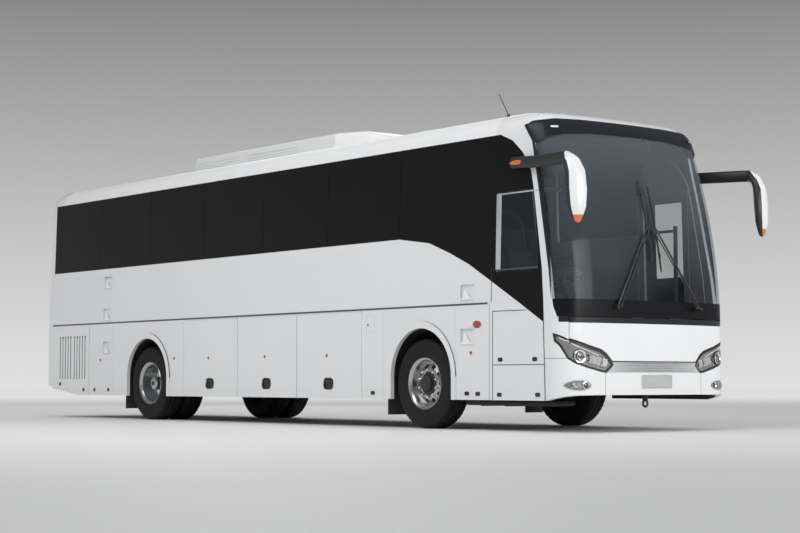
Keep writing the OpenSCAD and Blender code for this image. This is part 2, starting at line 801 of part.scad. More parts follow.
// Hinge barrels of the engine hatch, just under the rear wall's edge
hatch_axis_d = bead_r + 1;
hatch_axis_z = hatch_top + gap - bead_r - joint;
hatch_leaf_d = rear_t + pow(hinge_half + hinge_len / 2, 2) / (2 * tail_r) + rake(rear_end, hatch_top)
    + face_sag(rear_end) + joint;
module hatch_hinges() {
    color("dimgray") for (s = [-1, 1]) {
        translate([rear_x + hatch_axis_d, s * hinge_half - hinge_len / 2, hatch_axis_z]) rotate([-90, 0, 0])
            cylinder(r = bead_r, h = hinge_len);
        block([rear_x + hatch_axis_d, s * hinge_half - hinge_len / 2, hatch_axis_z - 6],
            [rear_x + hatch_leaf_d + leaf_t, s * hinge_half + hinge_len / 2, hatch_axis_z - 1]);
        block([rear_x + hatch_leaf_d, s * hinge_half - hinge_len / 2, hatch_axis_z - 120],
            [rear_x + hatch_leaf_d + leaf_t, s * hinge_half + hinge_len / 2, hatch_axis_z - 1]);
    }
}

// Underframe
rail_y = [390, 470];
rail_z = [650, 850];
deck_z = [1388, 1430];
bulk_t = 40;
bay_floor_z = [345, 435];
frame_half = half_w - skirt_t - gap;
flap_d = [front_overhang + 650, rear_axle_d + 650];
tow_r = 20;
tow_z = [300, 400];

module tow_eye(x, z) {
    difference() {
        block([x - 60, -25, z - 55], [x + 60, 25, z + 60]);
        translate([x, 0, z]) rotate([90, 0, 0]) cylinder(r = tow_r, h = 60, center = true);
    }
}

// Members of the frame, each a bar or plate that butts on its neighbours
outrigger_d = [1700, rear_axle_d + 1460, body_len - 650];
post_frame_d = [1950, front_overhang + 800, bay_end + 200, rear_axle_d + 400];
cross_d = [420, 1800, front_overhang + 900, rear_axle_d - 440, rear_axle_d + 400];
beam_z = [430, 560];
// Stretch of the left rail that runs low under the entrance steps
well_d = [door_start - 25, door_start + door_w + 15];
module underframe() {
    color("dimgray") {
        both_sides() {
            block([rear_x + 200, rail_y[0], rail_z[0]], [xn(bay_end) - joint, rail_y[1], rail_z[1]]);
            block([xn(bay_end - bulk_t) + joint, rail_y[0], bay_floor_z[0]],
                [xn(bay_start + bulk_t) - joint, rail_y[1], bay_floor_z[1] - 40 - joint]);
            for (d = flap_d)
                block([xn(d + 50), rail_y[1] + joint, 690], [xn(d), frame_half, 750]);
            for (d = outrigger_d)
                block([xn(d + 60), rail_y[1] + joint, rail_z[0]], [xn(d), frame_half, rail_z[0] + 80]);
            block([xn(480), rail_y[0], beam_z[0]], [xn(330) - joint, rail_y[1], rail_z[0] - joint]);
        }
        block([xn(bay_start) + joint, -rail_y[1], rail_z[0]], [xn(420), -rail_y[0], rail_z[1]]);
        block([xn(bay_start) + joint, rail_y[0], rail_z[0]], [xn(well_d[1]) - joint, rail_y[1], rail_z[1]]);
        block([xn(well_d[1]), rail_y[0], rail_z[0] - 90], [xn(well_d[0]), rail_y[1], step_z[0] - 40 - joint]);
        block([xn(well_d[0]) + joint, rail_y[0], rail_z[0]], [xn(420), rail_y[1], rail_z[1]]);
        block([xn(bay_end - bulk_t) + joint, -frame_half, bay_floor_z[1] - 40],
            [xn(bay_start + bulk_t) - joint, frame_half, bay_floor_z[1]]);
        for (d = [bay_start, bay_end - bulk_t])
            block([xn(d + bulk_t), -frame_half, bay_floor_z[0]], [xn(d), frame_half, deck_z[0] - joint]);
        for (d = post_frame_d)
            block([xn(d + 60), -rail_y[1], rail_z[1] + joint], [xn(d), rail_y[1], deck_z[0] - joint]);
        for (d = [600, 1500])
            block([xn(d + 60), 175 - half_w, rail_z[1] + joint], [xn(d), 300, platform_z[0] - joint]);
        for (d = cross_d)
            block([xn(d + 80), -rail_y[0] + joint, rail_z[0]], [xn(d), rail_y[0] - joint, rail_z[0] + 120]);
        block([xn(330), -700, beam_z[0]], [xn(bumper_t + 40), 700, beam_z[1]]);
        block([rear_x + bumper_t + 30, -800, 520], [rear_x + 260, 800, rail_z[0] - joint]);
    }
}

// Towing eyes on hangers under the end beams
module tow_eyes() {
    color("dimgray") {
        block([xn(260), -40, tow_z[0] + 2 * tow_r], [xn(120), 40, beam_z[0] - joint]);
        tow_eye(xn(180), tow_z[0]);
        block([rear_x + 100, -40, tow_z[1] + 2 * tow_r], [rear_x + 220, 40, 520 - joint]);
        tow_eye(rear_x + 160, tow_z[1]);
    }
}

// Floors
platform_z = [1000, 1040];
step_edge = [350, 700, half_w - 60];
step_z = [740, 440];
floor_half = side_y(deck_z[1]) - wall_t - joint;
module floor_deck() {
    color("gray") difference() {
        union() {
            block([rear_x + rear_side, -floor_half, deck_z[0]], [xn(1900), floor_half, deck_z[1]]);
            block([xn(1940), -floor_half + 20, platform_z[0]], [xn(1900), floor_half - 20, deck_z[1]]);
            block([xn(1910), -floor_half + 20, platform_z[0]], [xn(440), step_edge[0], platform_z[1]]);
            block([xn(1910), step_edge[0] - 1, platform_z[0]],
                [xn(door_start + door_w + 20), floor_half - 20, platform_z[1]]);
            along([[step_edge[0] - 40, platform_z[1]], [step_edge[0], platform_z[1]], [step_edge[0],
                step_z[0]],
                [step_edge[1], step_z[0]], [step_edge[1], step_z[1]], [step_edge[2], step_z[1]],
                [step_edge[2], step_z[1] - 40], [step_edge[1] - 40, step_z[1] - 40],
                [step_edge[1] - 40, step_z[0] - 40], [step_edge[0] - 40, step_z[0] - 40]],
                xn(door_start + door_w - 5), xn(door_start + 5));
        }
        translate([xn(post_d), post_y, step_z[1] - 30]) cylinder(r = post_pin_r + run, h = 60);
    }
}

// Passenger door, its arm and its glass
post_d = 795;
post_y = half_w - 125;
post_r = 24;
post_pin_r = 14;
pivot_r = 12;
lug_z = [door_low + 500, door_high - 450];
lug_t = 40;
lug_w = 50;
door_window = [90, skirt_h + 70, door_high - 110];

module passenger_door() {
    color("white") difference() {
        union() {
            side_layer(left, door_low, door_high, 0, wall_t, door_start, door_start + door_w);
            for (z = lug_z) door_lug(z);
        }
        across([for (q = [[0, 0], [0, 1], [1, 1], [1, 0]])
            [xn(door_start + door_window[0] + q[0] * (door_w - 2 * door_window[0])), door_window[1 + q[1]]]]);
        for (z = lug_z)
            translate([xn(post_d + door_arm_len), post_y, z - lug_t]) cylinder(r = pivot_r + run,
                h = 3 * lug_t);
    }
}

// Lug on the inside of the door that turns on the arm's pin
module door_lug(z) {
    translate([xn(post_d + door_arm_len), post_y, z]) {
        cylinder(r = lug_w / 2, h = lug_t);
        block([-lug_w / 2, 0, 0], [lug_w / 2, side_y(z) - post_y - 10, lug_t]);
    }
}

module door_glass() {
    color("black") intersection() {
        side_layer(left, door_low, door_high, 2, 2 + glass_t, door_start, door_start + door_w);
        across([for (q = [[0, 0], [0, 1], [1, 1], [1, 0]])
            [xn(door_start + door_window[0] + joint + q[0] * (door_w - 2 * door_window[0] - 2 * joint)),
                door_window[1 + q[1]] + joint * (1 - 2 * q[1])]]);
    }
}

module door_arm() {
    color("silver") {
        translate([xn(post_d), post_y, step_z[1] + joint]) cylinder(r = post_r,
            h = lug_z[1] - step_z[1] + lug_t);
        translate([xn(post_d), post_y, step_z[1] - 25]) cylinder(r = post_pin_r, h = 60);
        for (z = lug_z) {
            block([xn(post_d + door_arm_len + 25), post_y - 20, z - 30], [xn(post_d), post_y + 20,
                z - joint]);
            translate([xn(post_d + door_arm_len), post_y, z - 30]) cylinder(r = pivot_r, h = lug_t + 30);
        }
    }
}

// Axles and knuckles
beam_half = 60;
boss_r = 55;
boss_h = 150;
kingpin_r = 25;
spindle_r = 40;
bellows_r = 110;
module front_axle() {
    color("dimgray") translate([front_axle_x, 0, tyre_r]) {
        difference() {
            union() {
                block([-beam_half, -kingpin_y, -boss_h / 2 + 15], [beam_half, kingpin_y, boss_h / 2 - 15]);
                for (s = [-1, 1])
                    translate([0, s * kingpin_y, -boss_h / 2]) cylinder(r = boss_r, h = boss_h);
            }
            for (s = [-1, 1]) {
                translate([0, s * kingpin_y, -boss_h]) cylinder(r = kingpin_r + run, h = 2 * boss_h);
            }
        }
        both_sides() translate([0, (rail_y[0] + rail_y[1]) / 2, boss_h / 2 - 16])
            cylinder(r = bellows_r, h = rail_z[0] - joint - tyre_r - boss_h / 2 + 16);
    }
}

yoke_t = 35;
yoke_r = 50;
module knuckle(side) {
    color("gray") translate([front_axle_x, 0, tyre_r]) {
        translate([0, side * kingpin_y, -boss_h / 2 - yoke_t]) cylinder(r = kingpin_r,
            h = boss_h + 2 * yoke_t);
        for (z = [-boss_h / 2 - yoke_t, boss_h / 2 + joint]) {
            translate([0, side * kingpin_y, z]) cylinder(r = yoke_r, h = yoke_t - joint);
            block([-yoke_r, min(side * kingpin_y, side * (kingpin_y + 85)), z],
                [yoke_r, max(side * kingpin_y, side * (kingpin_y + 85)), z + yoke_t - joint]);
        }
        block([-yoke_r, min(side * (kingpin_y + 65), side * (kingpin_y + 85)), -boss_h / 2 - yoke_t],
            [yoke_r, max(side * (kingpin_y + 65), side * (kingpin_y + 85)), boss_h / 2 + yoke_t]);
        translate([0, side * (kingpin_y + 80), 0]) rotate([-side * 90, 0, 0])
            cylinder(r = spindle_r, h = wheel_y - kingpin_y + 30);
    }
}
module knuckle_right() { knuckle(right); }
module knuckle_left() { knuckle(left); }

axle_tube_r = 75;
axle_end_r = 60;
diff_r = 200;
module rear_axle() {
    color("dimgray") translate([rear_axle_x, 0, tyre_r]) {
        rotate([90, 0, 0]) cylinder(r = axle_tube_r, h = 2 * (wheel_y - twin_pitch - 60), center = true);
        rotate([90, 0, 0]) cylinder(r = axle_end_r, h = 2 * (wheel_y - 40), center = true);
        sphere(r = diff_r);
        rotate([0, -90, 0]) cylinder(r = 90, h = 380);
        both_sides() translate([0, (rail_y[0] + rail_y[1]) / 2, 0])
            cylinder(r = bellows_r, h = rail_z[0] - joint - tyre_r);
    }
}

// Wheels. A profile is [radius, offset outwards from the tyre's middle plane]
groove_w = 14;
groove_depth = 12;
grooves = [-66, 0, 66];
function tyre_profile() = concat([[rim_r, -tyre_w / 2 + 40], [rim_r + 14, -tyre_w / 2 + 18],
    [rim_r + 90, -tyre_w / 2], [tyre_r - 70, -tyre_w / 2 + 1], [tyre_r - 22, -tyre_w / 2 + 14],
    [tyre_r - 7, -tyre_w / 2 + 26], [tyre_r, -tyre_w / 2 + 48]],
    [for (g = grooves, q = [[0, -0.5], [-groove_depth, -0.4], [-groove_depth, 0.4], [0, 0.5]])
        [tyre_r + q[0], g + q[1] * groove_w]],
    [[tyre_r, tyre_w / 2 - 48], [tyre_r - 7, tyre_w / 2 - 26], [tyre_r - 22, tyre_w / 2 - 14],
    [tyre_r - 70, tyre_w / 2 - 1], [rim_r + 90, tyre_w / 2], [rim_r + 14, tyre_w / 2 - 18],
    [rim_r, tyre_w / 2 - 40]]);

// Turns a profile about the wheel's axle, offset outwards on the given side
module turned(side, y, pts) {
    translate([0, side * y, tyre_r]) rotate([-side * 90, 0, 0]) rotate_extrude() polygon(pts);
}

module front_tyre(side) {
    color("black") translate([front_axle_x, 0, 0]) turned(side, wheel_y, tyre_profile());
}
module tyre_front_right() { front_tyre(right); }
module tyre_front_left() { front_tyre(left); }

module rear_tyres(side) {
    color("black") translate([rear_axle_x, 0, 0]) for (y = [wheel_y, wheel_y - twin_pitch])
        turned(side, y, tyre_profile());
}
module tyres_rear_right() { rear_tyres(right); }
module tyres_rear_left() { rear_tyres(left); }

rim_in = rim_r - joint;
hand_holes = 10;
hand_hole_r = 30;
hand_ring_r = 205;
// Front rim with its disc near the outer face, and the hub in its middle
front_rim_profile = [[spindle_r + run, 0], [spindle_r + run, 118], [0, 118], [0, 135], [82, 130], [92,
    118], [96, 70],
    [150, 70], [178, 62], [232, 30], [258, 30], [262, 108], [276, 128], [297, 138], [301, 132], [292, 118],
    [rim_in, 112], [rim_in, -112], [292, -118], [301, -132], [297, -138], [276, -128], [254, -108], [250, 12],
    [228, 14], [172, 46], [150, 52], [96, 52], [90, 0]];
module front_rim(side) {
    color("silver") translate([front_axle_x, 0, 0]) difference() {
        turned(side, wheel_y, front_rim_profile);
        for (i = [0 : hand_holes - 1])
            translate([0, 0, tyre_r]) rotate([0, 360 / hand_holes * i, 0])
                translate([hand_ring_r, side * (wheel_y - 40), 0]) rotate([-side * 90, 0, 0])
                    cylinder(r = hand_hole_r, h = 130);
    }
}
module rim_front_right() { front_rim(right); }
module rim_front_left() { front_rim(left); }

// Rear twin rims, bolted together at their discs, with the hub end in the outer dish
rear_rim_profile = [[axle_end_r + run, -250], [axle_end_r + run, 48], [0, 48], [0, 90], [70, 84], [92,
    70], [96, -138],
    [150, -138], [228, -134], [254, -112], [256, 108], [276, 128], [297, 138], [301, 132], [292, 118],
        [rim_in, 112],
    [rim_in, -112], [292, -118], [301, -132], [297, -140], [285, -146], [285, -186], [297, -192], [301, -198],
    [292, -212], [rim_in, -218], [rim_in, -442], [292, -448], [301, -462], [297, -468], [276, -458],
        [254, -438],
    [250, -190], [228, -172], [150, -168], [96, -168], [92, -250]];
module rear_rims(side) {
    color("silver") translate([rear_axle_x, 0, 0]) difference() {
        turned(side, wheel_y, rear_rim_profile);
        for (i = [0 : hand_holes - 1])
            translate([0, 0, tyre_r]) rotate([0, 360 / hand_holes * i, 0])
                translate([195, side * (wheel_y - 260), 0]) rotate([-side * 90, 0, 0])
                    cylinder(r = hand_hole_r - 4, h = 180);
    }
}
module rims_rear_right() { rear_rims(right); }
module rims_rear_left() { rear_rims(left); }

module mud_flaps() {
    color("black") both_sides() for (d = flap_d)
        block([xn(d + 30), 935, 150], [xn(d + 18), frame_half, 690 - joint]);
}

module engine() {
    color("dimgray") {
        block([rear_x + 330, -360, 520], [xn(rear_axle_d + 500), 360, 1330]);
        block([rear_x + 420, -rail_y[1], rail_z[1] + joint], [rear_x + 560, rail_y[1], rail_z[1] + 60]);
        block([rear_x + 1200, -rail_y[1], rail_z[1] + joint], [rear_x + 1340, rail_y[1], rail_z[1] + 60]);
    }
}

// Cabin
dash_y = [95 - half_w, 330];
module dash_form() {
    translate([0, dash_y[1], 0]) rotate([90, 0, 0]) linear_extrude(height = dash_y[1] - dash_y[0])
        polygon([[xn(330), platform_z[1] + joint], [xn(320), 1300], [xn(400), 1345], [xn(620), 1290],
            [xn(700), 1200],
            [xn(690), 1150], [xn(560), platform_z[1] + joint]]);
}

module dashboard() {
    color("dimgray") dash_form();
}

wheel_d = 850;
wheel_z = 1680;
wheel_seat_y = 675 - half_w;
wheel_ring_r = 215;
wheel_tilt = 25;
column_len = 500;
column_r = 35;
module steering_wheel() {
    color("black") difference() {
        translate([xn(wheel_d), wheel_seat_y, wheel_z]) rotate([0, -wheel_tilt, 0]) {
            rotate_extrude() translate([wheel_ring_r, 0]) circle(r = 15);
            for (a = [90, 210, 330]) rotate([0, 0, a]) rotate([0, 90, 0]) cylinder(r = 10, h = wheel_ring_r);
            translate([0, 0, -column_len]) cylinder(r = column_r, h = column_len + 15);
        }
        translate([0, 0, 1.5 * joint]) dash_form();
    }
}

// Outline of a seat in side view, with its pedestal
function seat_side(x, z) = [[x + 60, z], [x + 60, z + 300], [x + 20, z + 310], [x - 160, z + 1040],
    [x - 90, z + 1060],
    [x + 80, z + 470], [x + 480, z + 500], [x + 510, z + 440], [x + 490, z + 370], [x + 330, z + 350],
    [x + 330, z]];

module seat(d, y0, y1, z) {
    translate([0, y1, 0]) rotate([90, 0, 0]) linear_extrude(height = y1 - y0) polygon(seat_side(xn(d), z));
}

module driver_seat() {
    color("darkslategray") seat(1500, wheel_seat_y - 240, wheel_seat_y + 240, platform_z[1] + joint);
}

seat_pitch = 830;
seat_first = 2900;
seat_rows = floor((body_len - rear_side - 500 - seat_first) / seat_pitch) + 1;
seat_y = [330, half_w - 95];
module passenger_seats() {
    color("midnightblue") both_sides() for (i = [0 : seat_rows - 1])
        seat(seat_first + seat_pitch * i, seat_y[0], seat_y[1], deck_z[1] + joint);
}

// Mirrors: a deep arm from the side, bent down into the head. An arm point is [d, y, rise from mirror_top],
// and a head point has its half depth and half width besides
mirror_top = cant_h - 380;
head_toe = 20;
arm_half = [34, 66];
head_d = 79 - mirror_reach;
head_y = half_w + 153;
bend_point = [head_d + 151, head_y - 10, -6];
arm_line = [[905, half_w - 7, 42], [574, half_w + 25, 18], [204, half_w + 77, 5], [20, half_w + 117, 0],
    bend_point];
head_line = [concat(bend_point, [44, 66]), [head_d + 65, head_y, -60, 58, 92], [head_d + 15, head_y,
    -170, 70, 116],
    [head_d, head_y, -360, 72, 126], [head_d - 5, head_y, -540, 64, 108], [head_d - 5, head_y, -630, 46, 70],
    [head_d - 5, head_y, -672, 34, 46]];
tip_half = 34;
lamp_top = mirror_top - 620;

// Edge of the white shell on the black housing, as [distance along the head's axis, z]
shell_share = 0.62;
function along_head(q) = (head_d - q[0]) * cos(head_toe) + (q[1] - head_y) * sin(head_toe);
shell_edge = concat([[along_head(bend_point) - 30, mirror_top + 90]],
    [for (i = [1 : 6]) [along_head(head_line[i]) + shell_share * head_line[i][3],
        mirror_top + head_line[i][2]]],
    [[along_head(head_line[6]), mirror_top - 800]]);

module oval(q, half) {
    translate([xn(q[0]), q[1], mirror_top + q[2]]) rotate([0, 0, head_toe]) scale(half) sphere(r = 1,
        $fn = 14);
}

module mirror_form() {
    for (i = [0 : len(arm_line) - 2]) hull() for (q = [arm_line[i], arm_line[i + 1]])
        oval(q, [arm_half[0], arm_half[0], arm_half[1]]);
    for (i = [0 : len(head_line) - 2]) hull() for (q = [head_line[i], head_line[i + 1]])
        oval(q, [q[3], q[4], i < 2 ? arm_half[1] : tip_half]);
}

// Space ahead of the shell's edge, moved forward by g, between two heights
module shell_zone(g, low, high) {
    intersection() {
        translate([xn(head_d), head_y, 0]) rotate([0, 0, head_toe]) rotate([90, 0, 0])
            linear_extrude(height = 1000, center = true)
                polygon(concat([for (q = shell_edge) [q[0] + g, q[1]]],
                    [[600, mirror_top - 800], [600, mirror_top + 90]]));
        block([xn(3000), 0, low], [xn(-800), 2 * body_w, high]);
    }
}

module mirror_arms() {
    color("black") both_sides() difference() {
        mirror_form();
        shell_zone(0, 0, 2 * cant_h);
        along([[0, skirt_h], [side_y(skirt_h) + joint, skirt_h], [side_y(cant_h) + joint, cant_h], [0,
            cant_h]],
            xn(3000), xn(-800));
    }
}

module mirror_heads() {
    color("white") both_sides() intersection() {
        mirror_form();
        shell_zone(joint, lamp_top, 2 * cant_h);
    }
}

module mirror_lamps() {
    color("orange") both_sides() intersection() {
        mirror_form();
        shell_zone(joint, 0, lamp_top - joint);
    }
}

// Wipers
wiper_y = [-600, 650];
wiper_z = 1335;
wiper_tip = [[-72, up(0.454)], [24, up(0.433)]];
wiper_low = [[-57, up(0.243)], [42, up(0.19)]];
wiper_high = [[-90, up(0.716)], [5, up(0.69)]];
wiper_seat = [1.2, 1.8];
function screen_point(y, z, out) = [nose_x + out - rake(front_end, z) - y * y / (2 * nose_r), y, z];
module wipers() {
    color("black") for (i = [0, 1]) {
        translate(screen_point(wiper_y[i], wiper_z, wiper_seat[i])) rotate([0, 90, 0]) cylinder(r = 22,
            h = 52 + 30 * i);
        hull() {
            translate(screen_point(wiper_y[i], wiper_z, 40 + 30 * i)) sphere(r = 14, $fn = 10);
            translate(screen_point(wiper_tip[i][0], wiper_tip[i][1], 45 + 30 * i)) sphere(r = 10, $fn = 10);
        }
        for (q = [[wiper_low[i], wiper_tip[i]], [wiper_tip[i], wiper_high[i]]]) hull() for (p = q)
            translate(screen_point(p[0], p[1], 32 + 30 * i)) sphere(r = 9, $fn = 10);
    }
}

marker_d = [1505, 1620];
marker_z = 1170;
module side_markers() {
    color("orangered") for (side = [right, left])
        translate([xn(side == right ? marker_d[0] : marker_d[1]), side * (half_w + joint), marker_z])
            rotate([-side * 90, 0, 0]) scale([1.6, 0.8, 1]) cylinder(r = 25, h = 14);
}

underframe();
floor_deck();
side_walls();
side_glass();
skirts();
roof_shell();
roof_ac();
antenna();
front_mask();
cowl_panel();
windshield();
visor();
front_grille();
front_bumper();
headlamps();
fog_lamps();
wipers();
mirror_arms();
mirror_heads();
mirror_lamps();
tow_eyes();
side_markers();
mud_flaps();
rear_wall();
rear_glass();
rear_bumper();
tail_lamps();
front_axle();
rear_axle();
engine();
dashboard();
steering_wheel();
driver_seat();
passenger_seats();
knuckle_right();
knuckle_left();
tyre_front_right();
tyre_front_left();
rim_front_right();
rim_front_left();
tyres_rear_right();
tyres_rear_left();
rims_rear_right();
rims_rear_left();
luggage_door_right_1();
luggage_door_right_2();
luggage_door_right_3();
luggage_door_left_1();
luggage_door_left_2();
luggage_door_left_3();
front_flap();
flap_hinges();
engine_hatch();
hatch_hinges();
passenger_door();
door_glass();
door_arm();
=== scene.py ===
import json
import math
import bmesh
import bpy
from mathutils import Matrix, Vector
from mathutils.bvhtree import BVHTree


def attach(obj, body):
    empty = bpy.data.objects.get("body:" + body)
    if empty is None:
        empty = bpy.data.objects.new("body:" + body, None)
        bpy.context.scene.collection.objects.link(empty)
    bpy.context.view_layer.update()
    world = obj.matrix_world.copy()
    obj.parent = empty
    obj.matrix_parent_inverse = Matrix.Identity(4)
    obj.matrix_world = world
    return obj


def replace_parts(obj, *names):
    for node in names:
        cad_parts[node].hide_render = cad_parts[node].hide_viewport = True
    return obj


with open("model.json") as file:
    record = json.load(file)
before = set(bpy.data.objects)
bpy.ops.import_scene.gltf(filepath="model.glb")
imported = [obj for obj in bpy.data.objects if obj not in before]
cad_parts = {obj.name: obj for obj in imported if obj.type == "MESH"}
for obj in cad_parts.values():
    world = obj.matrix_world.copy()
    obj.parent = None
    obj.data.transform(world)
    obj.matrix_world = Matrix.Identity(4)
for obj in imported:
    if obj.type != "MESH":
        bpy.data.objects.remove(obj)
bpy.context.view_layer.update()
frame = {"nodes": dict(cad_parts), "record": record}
scene = bpy.context.scene
scene.view_settings.view_transform = "Standard"
print("frame loaded")

# camera low ahead of the right front corner
cameraSetup = {"place": (19.527, -14.221, 0.541), "yaw": 142.071, "pitch": 3.642, "lens": 81.17}


def placeCamera(setup):
    data = bpy.data.cameras.new("viewCamera")
    data.sensor_fit = "HORIZONTAL"
    data.sensor_width = 36.0
    data.lens = setup["lens"]
    data.clip_end = 200.0
    camera = bpy.data.objects.new("viewCamera", data)
    yaw = math.radians(setup["yaw"])
    pitch = math.radians(setup["pitch"])
    ahead = Vector((math.cos(yaw) * math.cos(pitch), math.sin(yaw) * math.cos(pitch), math.sin(pitch)))
    camera.location = setup["place"]
    camera.rotation_euler = ahead.to_track_quat("-Z", "Y").to_euler()
    scene.collection.objects.link(camera)
    scene.camera = camera


placeCamera(cameraSetup)

# pale studio: floor, soft boxes and an even sky
studio = {"floorSize": 160.0, "floorColour": (0.86, 0.86, 0.86, 1.0), "floorRough": 0.55,
          "farGlow": {"From Min": 8.0, "From Max": 40.0, "To Max": 0.34},
          "skyLow": (0.74, 0.74, 0.74, 1.0), "skyHigh": (0.215, 0.215, 0.218, 1.0), "skyClimb": 0.22,
          "skyLight": (0.49, 0.495, 0.50, 1.0),
          "boxes": [{"place": (3.6, -9.0, 11.0), "aim": (-0.6, 0.0, 1.0), "size": (13.0, 7.0),
                     "watts": 780.0, "spread": 180.0},
                    {"place": (18.0, 1.5, 4.5), "aim": (4.5, 0.0, 2.4), "size": (8.0, 4.0),
                     "watts": 156.0, "spread": 65.0},
                    {"place": (-12.0, 8.0, 9.0), "aim": (-2.0, 0.0, 2.0), "size": (9.0, 6.0),
                     "watts": 320.0, "spread": 180.0}]}


# each input of a node is given a value or the socket that feeds it
def fillNode(tree, node, ins):
    for key, value in ins.items():
        if isinstance(value, bpy.types.NodeSocket):
            tree.links.new(value, node.inputs[key])
        else:
            node.inputs[key].default_value = value
    return node


def newNode(tree, kind, ins=None):
    return fillNode(tree, tree.nodes.new("ShaderNode" + kind), ins or {})


def mathNode(tree, kind, a, b):
    node = newNode(tree, "Math", {0: a, 1: b})
    node.operation = kind
    return node.outputs[0]


def mixNode(tree, share, a, b):
    node = newNode(tree, "Mix")
    node.data_type = "RGBA"
    return fillNode(tree, node, {0: share, 6: a, 7: b}).outputs[2]


def groupNode(tree, group, ins):
    node = newNode(tree, "Group")
    node.node_tree = group
    return fillNode(tree, node, ins)


def makeFloor(setup):
    bm = bmesh.new()
    bmesh.ops.create_grid(bm, x_segments=1, y_segments=1, size=setup["floorSize"] / 2)
    mesh = bpy.data.meshes.new("studioFloor")
    bm.to_mesh(mesh)
    bm.free()
    floor = bpy.data.objects.new("studioFloor", mesh)
    scene.collection.objects.link(floor)
    paint = bpy.data.materials.new("studioFloor")
    paint.use_nodes = True
    tree = paint.node_tree
    # the far floor fades up to the sky, for the eye only
    away = newNode(tree, "VectorMath", {0: newNode(tree, "TexCoord").outputs["Object"]})
    away.operation = "LENGTH"
    glow = newNode(tree, "MapRange", {"Value": away.outputs["Value"], **setup["farGlow"]})
    glow.interpolation_type = "SMOOTHSTEP"
    eye = newNode(tree, "LightPath").outputs["Is Camera Ray"]
    fillNode(tree, tree.nodes["Principled BSDF"], {
        "Base Color": setup["floorColour"], "Roughness": setup["floorRough"],
        "Emission Color": (1.0, 1.0, 1.0, 1.0),
        "Emission Strength": mathNode(tree, "MULTIPLY", eye, glow.outputs[0])})
    mesh.materials.append(paint)


def makeSky(setup):
    world = bpy.data.worlds.new("studioSky")
    scene.world = world
    world.use_nodes = True
    tree = world.node_tree
    rise = newNode(tree, "SeparateXYZ", {0: newNode(tree, "TexCoord").outputs["Generated"]}).outputs["Z"]
    climb = newNode(tree, "MapRange", {"Value": rise, "From Max": setup["skyClimb"]}).outputs[0]
    path = newNode(tree, "LightPath").outputs
    seen = mathNode(tree, "MAXIMUM", path["Is Camera Ray"], path["Is Glossy Ray"])
    seen = mathNode(tree, "MAXIMUM", seen, path["Is Transmission Ray"])
    fade = mixNode(tree, climb, setup["skyLow"], setup["skyHigh"])
    fillNode(tree, tree.nodes["Background"], {"Color": mixNode(tree, seen, setup["skyLight"], fade)})


def makeSoftBoxes(boxes):
    for i, box in enumerate(boxes):
        data = bpy.data.lights.new("softBox%d" % i, "AREA")
        data.shape = "RECTANGLE"
        data.size, data.size_y = box["size"]
        data.energy = box["watts"]
        data.spread = math.radians(box["spread"])
        lamp = bpy.data.objects.new("softBox%d" % i, data)
        lamp.location = box["place"]
        aim = Vector(box["aim"]) - Vector(box["place"])
        lamp.rotation_euler = aim.to_track_quat("-Z", "Y").to_euler()
        scene.collection.objects.link(lamp)


makeFloor(studio)
makeSky(studio)
makeSoftBoxes(studio["boxes"])
print("camera and studio placed")


# shared effects as node groups
def newGroup(name, ins, outs):
    tree = bpy.data.node_groups.new(name, "ShaderNodeTree")
    for kind, label, value in ins:
        socket = tree.interface.new_socket(name=label, in_out="INPUT", socket_type="NodeSocket" + kind)
        if value is not None:
            socket.default_value = value
    for kind, label in outs:
        tree.interface.new_socket(name=label, in_out="OUTPUT", socket_type="NodeSocket" + kind)
    return tree, tree.nodes.new("NodeGroupInput").outputs, tree.nodes.new("NodeGroupOutput")


# how much rougher the paint gets where it is dusty
dustGain = 12.0


def makeFinishGroup():
    tree, given, end = newGroup("paintedFinish", [
        ("Vector", "Place", None), ("Color", "Colour", (0.8, 0.8, 0.8, 1.0)),
        ("Color", "Dirt", (0.25, 0.23, 0.2, 1.0)), ("Float", "Patch Scale", 1.2), ("Float", "Patch", 0.03),
        ("Float", "Grain Scale", 160.0), ("Float", "Dirt Top", 0.8), ("Float", "Dirt Amount", 0.15),
        ("Float", "Rough", 0.3), ("Float", "Rough Spread", 0.06)],
        [("Color", "Colour"), ("Float", "Rough"), ("Float", "Height")])

    def noise(scale, detail):
        ins = {"Vector": given["Place"], "Scale": given[scale], "Detail": detail}
        return newNode(tree, "TexNoise", ins).outputs["Fac"]

    patch = noise("Patch Scale", 6.0)
    # below a set height a dark colour is mixed in, more and more towards the bottom: dirt on most paints,
    # painted shade on the screen
    height = newNode(tree, "SeparateXYZ", {0: given["Place"]}).outputs["Z"]
    fall = mathNode(tree, "SUBTRACT", given["Dirt Top"], height)
    fall = mathNode(tree, "DIVIDE", fall, given["Dirt Top"])
    fall = mathNode(tree, "MAXIMUM", fall, 0.0)
    dirt = mathNode(tree, "MULTIPLY", fall, patch)
    dirt = mathNode(tree, "MULTIPLY", dirt, given["Dirt Amount"])
    swing = mathNode(tree, "SUBTRACT", patch, 0.5)
    shade = mathNode(tree, "MULTIPLY", swing, given["Patch"])
    tone = newNode(tree, "VectorMath")
    tone.operation = "SCALE"
    fillNode(tree, tone, {0: given["Colour"], "Scale": mathNode(tree, "ADD", shade, 1.0)})
    rough = mathNode(tree, "MULTIPLY", swing, given["Rough Spread"])
    rough = mathNode(tree, "ADD", rough, given["Rough"])
    dusty = mathNode(tree, "MULTIPLY", dirt, given["Rough Spread"])
    dusty = mathNode(tree, "MULTIPLY", dusty, dustGain)
    fillNode(tree, end, {"Colour": mixNode(tree, dirt, tone.outputs[0], given["Dirt"]),
                         "Rough": mathNode(tree, "ADD", rough, dusty), "Height": noise("Grain Scale", 3.0)})
    return tree


